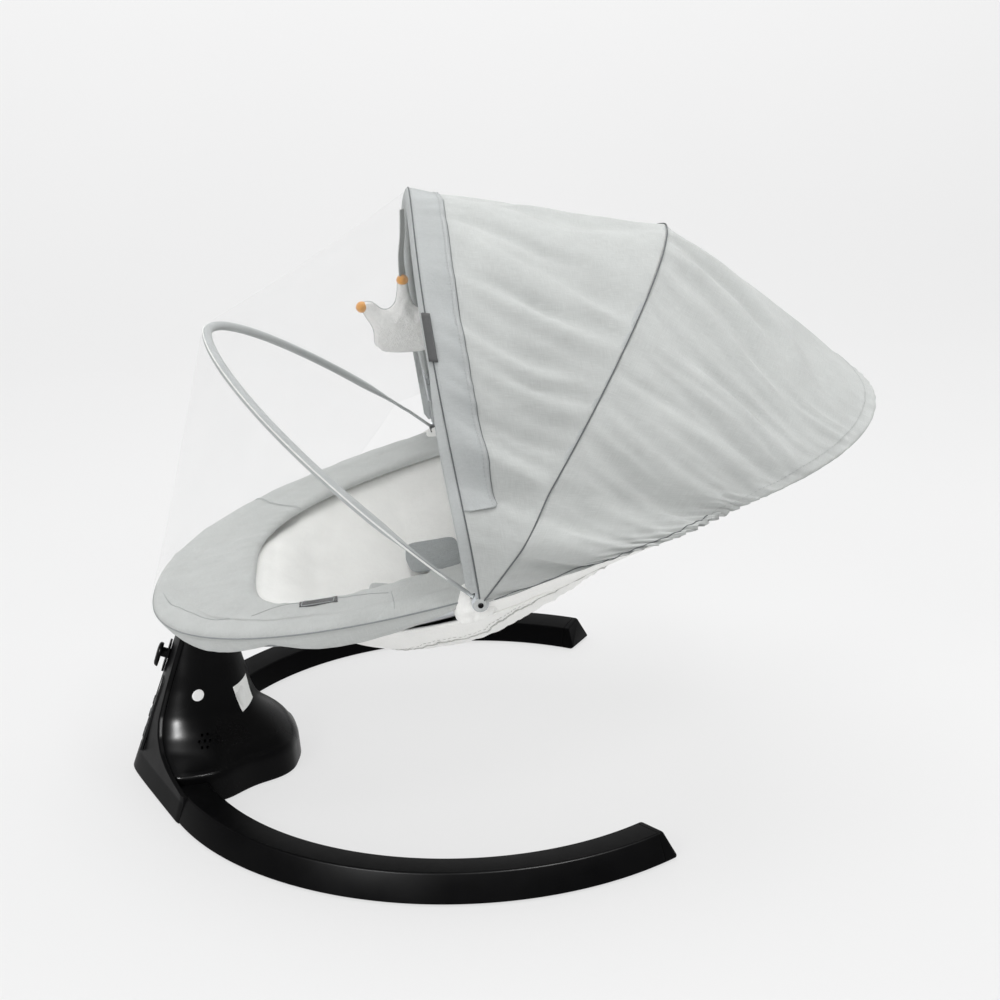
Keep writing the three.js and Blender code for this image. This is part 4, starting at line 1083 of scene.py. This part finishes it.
def rib_path(arch, inset, layer):
    """A rib's centre line from one pivot over the top to the other."""
    path = on_arch(arch, spread(220, 79), inset)
    ends = [np.array([PIVOT[0], side * layer, PIVOT[2]]) for side in (-1, 1)]
    near = [ends[0] + (path[0] - ends[0]) * k for k in (.12, .3, .5, .7, .85)]
    far = [ends[1] + (path[-1] - ends[1]) * k for k in (.85, .7, .5, .3, .12)]
    for points, y in ((near, -layer), (far, layer)):
        for q in points:
            q[1] = y + (q[1] - y) * .35
    return np.vstack([near, path, far])


def outward(path):
    """Away from the pivots' line at each point of a rib."""
    out = path - np.array([PIVOT[0], 0, PIVOT[2]])
    out[:, 1] *= 1.4
    return unit(out)


def sleeve_radii(path, radius):
    """The sleeve is pulled flat over the rib's flat ends."""
    near = np.hypot(path[:, 0] - PIVOT[0], path[:, 2] - PIVOT[2])
    return radius * (.42 + .58 * smooth(55, 105, near))


def arc_lengths(points):
    along = travelled(points)
    return along - along[-1] / 2


def grid_normals(points):
    """A grid's normals, facing away from the pivots' line."""
    n = unit(np.cross(np.gradient(points, axis=0), np.gradient(points, axis=1)))
    away = points - INSIDE
    return n * np.sign((n * away).sum(-1, keepdims=True))


def spread(n, stop=88.0):
    """Arch parameters with their points about evenly spaced."""
    return np.radians(stop) * np.sin(np.linspace(-1, 1, n) * np.pi / 2 * .86) / math.sin(np.pi / 2 * .86)


def gore(first, second, n, m, folds, sag, seed):
    """The cloth between two arches: its points, its outward normals, and its own flat coordinates."""
    t = spread(n, 89.95)
    s = np.linspace(0, 1, m)
    a, b = on_cloth(first, t), on_cloth(second, t)
    base = ruled(a, b, s)
    gap = np.linalg.norm(a - b, axis=1)
    weave = stacked(arc_lengths((a + b) / 2)[:, None], gap[:, None] * s)
    u, v = weave[..., 0], weave[..., 1]
    normal = grid_normals(base)
    # diagonal drag folds that fall from front to back on both sides
    slant = np.abs(u) - .42 * v * smooth(20, 160, np.abs(u))
    place = stacked(slant + 14 * wave(weave, (120, 120), seed), v)
    lump = (wave(place, (30, 190), seed + 1) * .62 + wave(place, (15, 110), seed + 5) * .3
            + wave(place, (8, 40), seed + 9) * .08)
    lump = np.sign(lump) * np.abs(lump) ** .8
    edge = np.clip(np.sin(np.pi * np.clip(s, 0, 1)), 0, 1)[None] ** .55
    room = smooth(4, 90, gap)[:, None]
    lift = folds * lump * edge * room - sag * (np.sin(np.pi * s)[None] * room)
    return base + normal * lift[..., None], normal, weave, t, gap


def sample(points, t, at, share):
    """Values of a grid of points over (arch angle, share across) at other places."""
    n, m = points.shape[:2]
    i = np.interp(at, t, np.arange(n))
    j = np.clip(share, 0, 1) * (m - 1)
    i0, j0 = np.minimum(i.astype(int), n - 2), np.minimum(j.astype(int), m - 2)
    f, g = (i - i0)[..., None], (j - j0)[..., None]
    near = points[i0, j0] * (1 - f) + points[i0 + 1, j0] * f
    far = points[i0, j0 + 1] * (1 - f) + points[i0 + 1, j0 + 1] * f
    return near * (1 - g) + far * g


def skin_object(name, points, weave, thick=.9):
    """A sheet of cloth of this thickness, its outer face away from the pivots' line."""
    obj = grid(name, points, weave=weave)
    middle = obj.data.polygons[len(obj.data.polygons) // 2]
    if np.dot(np.array(middle.center) - row(INSIDE), middle.normal) < 0:
        obj.data.flip_normals()
    modified(obj, "SOLIDIFY", thickness=thick / 1000, offset=-1)
    return applied(obj)


def build_canopy():
    build_front_gore()
    build_rear_gore()
    # ribs in their fabric sleeves, and dark piping along the mid rib and the front edge
    for name, arch, body, layer in (("front_rib_sleeve", FRONT, "canopy_front", FRONT_LAYER),
                                    ("mid_rib_sleeve", MIDDLE, "canopy_mid", MID_LAYER)):
        path = rib_path(arch, RIB_IN - .6, layer)
        dress(cord(name, path, sleeve_radii(path, 4.7), 14, up=outward(path), squash=1.62), TAPE, body)
    line = on_cloth(MIDDLE, spread(420, 88))
    dress(cord("mid_rib_piping", line + outward(line) * .5, .7, 8), PIPING, "canopy_mid")
    line = on_cloth(FRONT, spread(420, 88))
    dress(cord("front_edge_piping", line, .7, 8), PIPING, "canopy_front")
    # tape that joins the net to the canopy's front edge, wider down the sides
    t, k = spread(240, 86), np.linspace(0, 1, 6)
    a, b = on_cloth(FRONT, t), on_cloth(BOW, t)
    reach = 2.5 + 7.5 * smooth(40, 62, np.abs(np.degrees(t)))
    reach = np.minimum(reach, np.linalg.norm(a - b, axis=1) * .6)[:, None] * k
    points = a[:, None] + unit(b - a)[:, None] * reach[..., None]
    points = points + outward(a)[:, None] * (.4 * np.sin(np.pi * k))[:, None]
    tape = skin_object("net_edge_tape", points, stacked(arc_lengths(a)[:, None], reach), .8)
    dress(tape, TAPE, "canopy_front")
    # a blank black tag folded over the front edge on the near side
    t = np.radians(np.linspace(-48.5, -40.3, 16))
    a, b = on_cloth(FRONT, t), on_cloth(MIDDLE, t)
    out = unit(a - PIVOT * (1, 0, 1))
    rows = [a + unit(b - a) * d + out * lift
            for d, lift in ((-3.5, 1.4), (-2, 2.3), (-.5, 2.3), (1, 2.3), (2.5, 2.3), (4, 2.3))]
    piece = grid("blank_canopy_tag", np.array(rows).transpose(1, 0, 2))
    modified(piece, "SOLIDIFY", thickness=.0007, offset=0)
    dress(applied(piece), TAG, "canopy_front")
    build_pivots()


def sewn(obj, material, first="canopy_mid", second="canopy_front"):
    """Sewing on the cloth between two arches, its transform baked into its mesh."""
    blended(dress(obj, material, None), first, second)


def build_front_gore():
    points, normal, weave, t, gap = gore(FRONT, MIDDLE, 200, 90, 9.0, 2.5, 11.0)
    front = skin_object("canopy_front_skin", points, weave)
    dress(front, GREY, None, ["canopy_front_panel"])
    blended(front, "canopy_mid", "canopy_front")

    # the flap that covers the net's zip: sewn at the front edge, loose at its rear edge
    tt, k = spread(230, 71), np.linspace(0, 1, 9)
    edge = on_cloth(FRONT, tt)
    gap = np.linalg.norm(edge - on_cloth(MIDDLE, tt), axis=1)
    wide = 28 * smooth(71.5, 69.5, np.abs(np.degrees(tt))) + 1

    def lay(distance, lift):
        return sample(points, t, tt, distance / gap) + sample(normal, t, tt, distance / gap) * lift

    rows = [lay(wide * q, .3 + 1.1 * math.sin(q * np.pi / 2) ** .7 + .6 * q ** 6) for q in k]
    flat = stacked(arc_lengths(edge)[:, None], 28 * k)
    sewn(skin_object("canopy_zip_flap", np.array(rows).transpose(1, 0, 2), flat, .7), TAPE)
    behind = lay(wide + 1.0, .3)[np.abs(tt) < math.radians(69.3)]
    sewn(cord("canopy_zip_seam", behind, .3, 6), RIM_CORD)
    thread = stitches("zip_flap_topstitch", [lay(np.minimum(wide, 25), 1.9)], 2.4, 1.4, .22)
    sewn(thread, THREAD)


def build_rear_gore():
    points, normal, weave, t, gap = gore(MIDDLE, HEM, 360, 120, 10.0, 2.0, 23.0)
    u, v = weave[..., 0], weave[..., 1]
    turned = np.abs(np.degrees(t))
    from_hem = gap[:, None] - v
    # gathers along the hem at both sides, and small tucks all along it
    gather = (smooth(58, 66, turned) * smooth(84, 80, turned))[:, None]
    scallop = (np.abs(np.sin(np.pi * u / 9.5 + .8 * np.sin(u / 17))) * 5.6 - 2.9) * gather * np.exp(-from_hem / 20)
    ragged = 2.4 * np.sin(u * .66 + 1.3 * np.sin(u / 23)) * gather * np.exp(-from_hem / 7)
    tuck = .9 * wave(weave, (8, 60), 31) * np.exp(-from_hem / 30)
    down = unit(points[:, -1] - points[:, -4])
    points = points + normal * (scallop + tuck)[..., None] + down[:, None] * ragged[..., None]
    # the hem is turned in
    hem_line = points[:, -1]
    inward = unit(UNDER_HEM - hem_line)
    down = unit(points[:, -1] - points[:, -4])
    depth = (4 + 19 * smooth(84, 20, turned))[:, None]
    turn = [hem_line + inward * depth * d + down * w
            for d, w in ((.04, 1.2), (.12, 2.0), (.25, 2.3), (.5, 2.0), (.75, 1.4), (1, .8))]
    cloth = np.concatenate([points, np.array(turn).transpose(1, 0, 2)], 1)
    extra = weave[:, -1:, :] + np.array([[0, 2], [0, 4], [0, 7], [0, 12], [0, 17], [0, 23]])[None]
    rear = skin_object("canopy_rear_skin", cloth, np.concatenate([weave, extra], 1))
    dress(rear, GREY, None, ["canopy_rear_panel"])
    blended(rear, "seat", "canopy_mid")

    # hem stitching
    tt = spread(600, 89.4)
    gap = np.linalg.norm(on_cloth(HEM, tt) - on_cloth(MIDDLE, tt), axis=1)
    share = 1 - np.minimum(10, gap * .4) / gap
    seam = sample(points, t, tt, share) + sample(normal, t, tt, share) * .3
    for i, part in enumerate((tt < -math.radians(68), tt > math.radians(68))):
        sewn(cord(f"hem_seam_{i + 1}", seam[part], .45, 6), PIPING, "seat", "canopy_mid")
    thread = stitches("hem_topstitch", [seam[np.abs(tt) < math.radians(67.5)]], 2.6, 1.4, .2)
    sewn(thread, THREAD, "seat", "canopy_mid")


def build_pivots():
    """At each pivot the cover is wrapped round the hub, and a cloth-covered cap with a rivet closes the pin."""
    turn = around(40)
    cap = [(.3, 266.9), (4.8, 266.9), (5.5, 267.3), (5.6, CLOTH_LAYER), (5, 269.4), (3, 269.8), (.3, 269.9)]
    rivet = [(.3, 269.3), (2.2, 269.3), (2.3, 270.1), (1.7, 270.6), (.8, 270.8), (.3, 270.8)]
    for name, side in (("left", 1), ("right", -1)):
        loops, flat = [], []
        for u in np.linspace(-.995, .995, 44):
            size = (1 - abs(u) ** 4) ** .5
            x = PIVOT[0] - 2 + 18 * u
            y = 239.5 + 19.5 * size * powered(np.cos(turn), 3.2) + .5 * wave(stacked(34 * u, turn * 15), (7, 14), 3)
            z = 247.5 + 14 * size * powered(np.sin(turn), 3.2) + (x - PIVOT[0]) * math.sin(TILT)
            loops.append(stacked(x, side * y, z))
            flat.append(stacked(x, turn * 15))
        wrap = grid(f"{name}_hub_wrap", np.array(loops), wrap_cols=True, caps=True, weave=np.array(flat))
        dress(wrap, LINING, "seat")
        for piece, material, slot, profile in ((f"{name}_pivot_cap", GREY_SOLID, "grey_fabric", cap),
                                               (f"{name}_pivot_rivet", BLACK, "gloss_black", rivet)):
            rings = [stacked(PIVOT[0] + r * np.cos(turn), side * y, PIVOT[2] + r * np.sin(turn)) for r, y in profile]
            dress(solid_of(piece, rings), material, "seat")


def tulle_panel(name, a, b, along, wave_size, seed, slack):
    """Net stretched between two lines of points, with a little slack in it."""
    s = np.linspace(.005, 1, 60)
    base = ruled(a, b, s)
    gap = np.linalg.norm(a - b, axis=1)[:, None]
    weave = stacked(arc_lengths(along)[:, None], gap * s)
    sag = np.sin(np.pi * s) * smooth(5, 120, gap)
    lift = .8 * wave(weave, (wave_size, 120), seed) * sag - slack * sag
    return grid(name, base + grid_normals(base) * lift[..., None], weave=weave)


def build_net():
    path = rib_path(BOW, 2, BOW_LAYER)
    sleeve = cord("bow_sleeve", path, sleeve_radii(path, 4.1), 14, up=outward(path), squash=1.1)
    dress(sleeve, TAPE, "net", ["net_bow"])
    line = rib_path(BOW, -2.3, BOW_LAYER)
    dress(cord("bow_piping", line, .8, 8), WHITE_CORD, "net")
    seam = line + [1.2, 0, 0] - outward(line) * 1.1
    dress(cord("bow_piping_seam", seam, .45, 6), RIM_CORD, "net")

    t = spread(150, 77)
    a, b = on_arch(BOW, t, -4), on_arch(FRONT, t, 1)
    upper = tulle_panel("net_upper_tulle", a, b, a, 30, 41, 3.0)
    dress(upper, NET, None, ["net_upper"])
    blended(upper, "canopy_front", "net")

    edge = rim_at(np.pi - t * .9, -2.0)
    foot = on_seat(edge[..., 0], edge[..., 1], -1.5)
    lower = tulle_panel("net_lower_tulle", a, foot, foot, 34, 47, 2.0)
    dress(lower, NET, "net", ["net_lower"])
    hub = row(PIVOT * (1, 0, 1))
    out = row(on_arch(BOW, 0.0)) - hub
    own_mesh(lower)


# ---- toy
CROWN = [(-22, 402), (0, 400), (22, 402), (29, 408), (33, 425), (42, 441), (41, 450), (33, 451), (22, 446), (12, 450),
         (6.5, 462), (4.5, 472), (0, 476), (-4.5, 472), (-6.5, 462), (-12, 450), (-22, 446), (-33, 451), (-41, 450),
         (-42, 441), (-33, 425), (-29, 408)]
CROWN_X, CROWN_Z = -42, 438


def build_toy():
    p = np.array(CROWN, float)
    closed = spline(np.vstack([p[-2:], p, p[:2]]), 5)[10:-10]
    loops = [stacked(CROWN_X + closed[:, 0] * k, y, CROWN_Z + (closed[:, 1] - CROWN_Z) * k)
             for y, k in ((-5, .9), (-3, .95), (3, .95), (5, .9))]
    crown = solid_of("crown_toy", loops)
    puffed(crown, .0026, .009, 5.0)
    dress(crown, PLUSH, "toy", ["toy"])
    tree = tree_of(crown)
    for name, x, z in (("left", -38, 446.5), ("middle", 0, 470), ("right", 38, 446.5)):
        ball = []
        for lat in np.radians(np.linspace(-80, 80, 9)):
            r, turn = 5.6 * math.cos(lat), around(16)
            ball.append(stacked(CROWN_X + x + r * np.cos(turn), r * np.sin(turn) * 1.25, z + 5.2 * math.sin(lat)))
        dress(solid_of(f"crown_tip_{name}", ball), ORANGE, "toy")
    line = snapped(tree, stacked(CROWN_X + closed[:, 0], 0, closed[:, 1]), -.05)
    dress(cord("crown_edge_seam", line, .5, 6, closed=True), THREAD, "toy")
    # ribbon up to the canopy's front
    path = spline([(CROWN_X, 0, 474), (CROWN_X - .6, 0, 492), (CROWN_X + 1.4, 0, 512), (CROWN_X + 2, 0, 534)], 12)
    width = np.interp(np.linspace(0, 1, len(path)), [0, .25, 1], [8.5, 7, 5.5])
    rows = [np.stack([path[:, 0] + w * width * .35, w * width / 2, path[:, 2]], -1) for w in np.linspace(-1, 1, 7)]
    ribbon = grid("toy_ribbon", np.array(rows).transpose(1, 0, 2))
    modified(ribbon, "SOLIDIFY", thickness=.0009, offset=0)
    dress(applied(ribbon), GREY_SOLID, "toy", ["toy_strap"])


# ---- CAD nodes that keep their own shape
def finish_nodes():
    looks = {
        BLACK: ["knob_plate", "swing_head", "seat_bracket", "left_canopy_hub", "right_canopy_hub"],
        DARK: ["control_panel", "base_plate", "gearbox", "speaker"],
        BUTTON: ["power_button", "speed_up_button", "speed_down_button", "timer_button", "music_button"],
        RUBBER: ["tower_foot_pad_front", "tower_foot_pad_toe"] + [f"{side}_foot_pad_{i}" for side in ("left", "right")
                                                                  for i in (1, 2, 3)],
        SCREEN: ["display_window"],
        BOARD: ["main_board"],
        STEEL: ["power_inlet", "lower_bearing", "upper_bearing", "crank_disc", "connecting_rod", "swing_shaft",
                "recline_pin", "front_rib", "mid_rib", "drive_motor"],
    }
    for material, names in looks.items():
        for name in names:
            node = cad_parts[name]
            if node.material_slots:
                node.material_slots[0].material = material
            else:
                node.data.materials.append(material)
            modified(node, "WELD", merge_threshold=.00001)
            modified(node, "BEVEL", width=.0006, segments=2, limit_method="ANGLE", angle_limit=math.radians(40),
                     harden_normals=True)


# ---- studio and camera
def build_studio():
    world = bpy.data.worlds.new("studio")
    bpy.context.scene.world = world
    world.use_nodes = True
    background = world.node_tree.nodes["Background"]
    background.inputs[0].default_value = (.97, .97, .97, 1)
    background.inputs[1].default_value = .45
    # floor and backdrop in one sweep; its glow is painted light that stands in for the studio's light falling on it
    # and weakens the shadows
    bend = [(1.6 + 1.2 * math.sin(a), 1.2 * (1 - math.cos(a))) for a in np.linspace(.1, np.pi / 2, 12)]
    profile = [(-6, 0), (1.6, 0)] + bend + [(2.8, 5)]
    verts = [(x, y, z) for y, z in profile for x in (-7, 7)]
    floor = new_object("studio_floor", verts, grid_faces(len(profile), 2))
    s = Shader("studio_paper", Roughness=.9, Specular_IOR_Level=.1)
    s.set("Base Color", s.tint((.19, .19, .191, 1), s.ramp(s.noise(1.2, 2.0), .3, .7, .97, 1.02)))
    s.set("Emission Color", (1, 1, 1, 1))
    # painted light: the glow grows with height, so the backdrop is painted brighter higher up
    s.set("Emission Strength", s.ramp(s.add("SeparateXYZ", {0: s.at}).outputs[2], 0, 1.4, .65, .82))
    floor.data.materials.append(s.material)
    for name, at, size, power, aim in (
        ("top_light", (.1, .4, 2.6), 2.0, 39, (0, 0, 0)),
        ("key_light", (1.3, .3, 2.2), 1.2, 10, (0, 0, .3)),
        ("fill_light", (-1.1, -1.5, .9), 1.3, 8, (0, 0, .25)),
        ("glint_light", (.7, -1.2, 1.8), .34, 330, (-.2, 0, .1)),
        ("side_glint_light", (-1.2, -1.5, 1.2), .3, 210, (-.2, 0, .1)),
    ):
        lamp = bpy.data.lights.new(name, "AREA")
        lamp.shape, lamp.size, lamp.size_y = "RECTANGLE", size, size
        lamp.energy = power
        obj = bpy.data.objects.new(name, lamp)
        obj.visible_diffuse = "glint" not in name
        obj.visible_glossy = "fill" not in name
        obj.location = at
        obj.rotation_euler = (Vector(aim) - Vector(at)).to_track_quat("-Z", "Y").to_euler()
        bpy.context.scene.collection.objects.link(obj)


def build_camera():
    yaw, pitch, roll = (math.radians(d) for d in (5.6714, 18.0624, -1.2667))
    ahead = Vector((math.sin(yaw) * math.cos(pitch), math.cos(yaw) * math.cos(pitch), -math.sin(pitch)))
    right = Vector((math.cos(yaw), -math.sin(yaw), 0))
    up = right.cross(ahead)
    turned = right * math.cos(roll) + up * math.sin(roll)
    upright = up * math.cos(roll) - right * math.sin(roll)
    data = bpy.data.cameras.new("camera")
    data.lens, data.sensor_width = 57.83, 36
    data.clip_start, data.clip_end = .05, 50
    obj = bpy.data.objects.new("camera", data)
    facing = Matrix((turned, upright, -ahead)).transposed().to_4x4()
    obj.matrix_world = Matrix.Translation((-.128329, -1.456532, .731483)) @ facing
    bpy.context.scene.collection.objects.link(obj)
    bpy.context.scene.camera = obj


bpy.context.scene.view_settings.view_transform = "Standard"
build_camera()
build_studio()
build_legs()
build_tower()
build_knob()
build_cover()
build_bowls()
build_tubes()
build_harness()
build_canopy()
build_net()
build_toy()
finish_nodes()
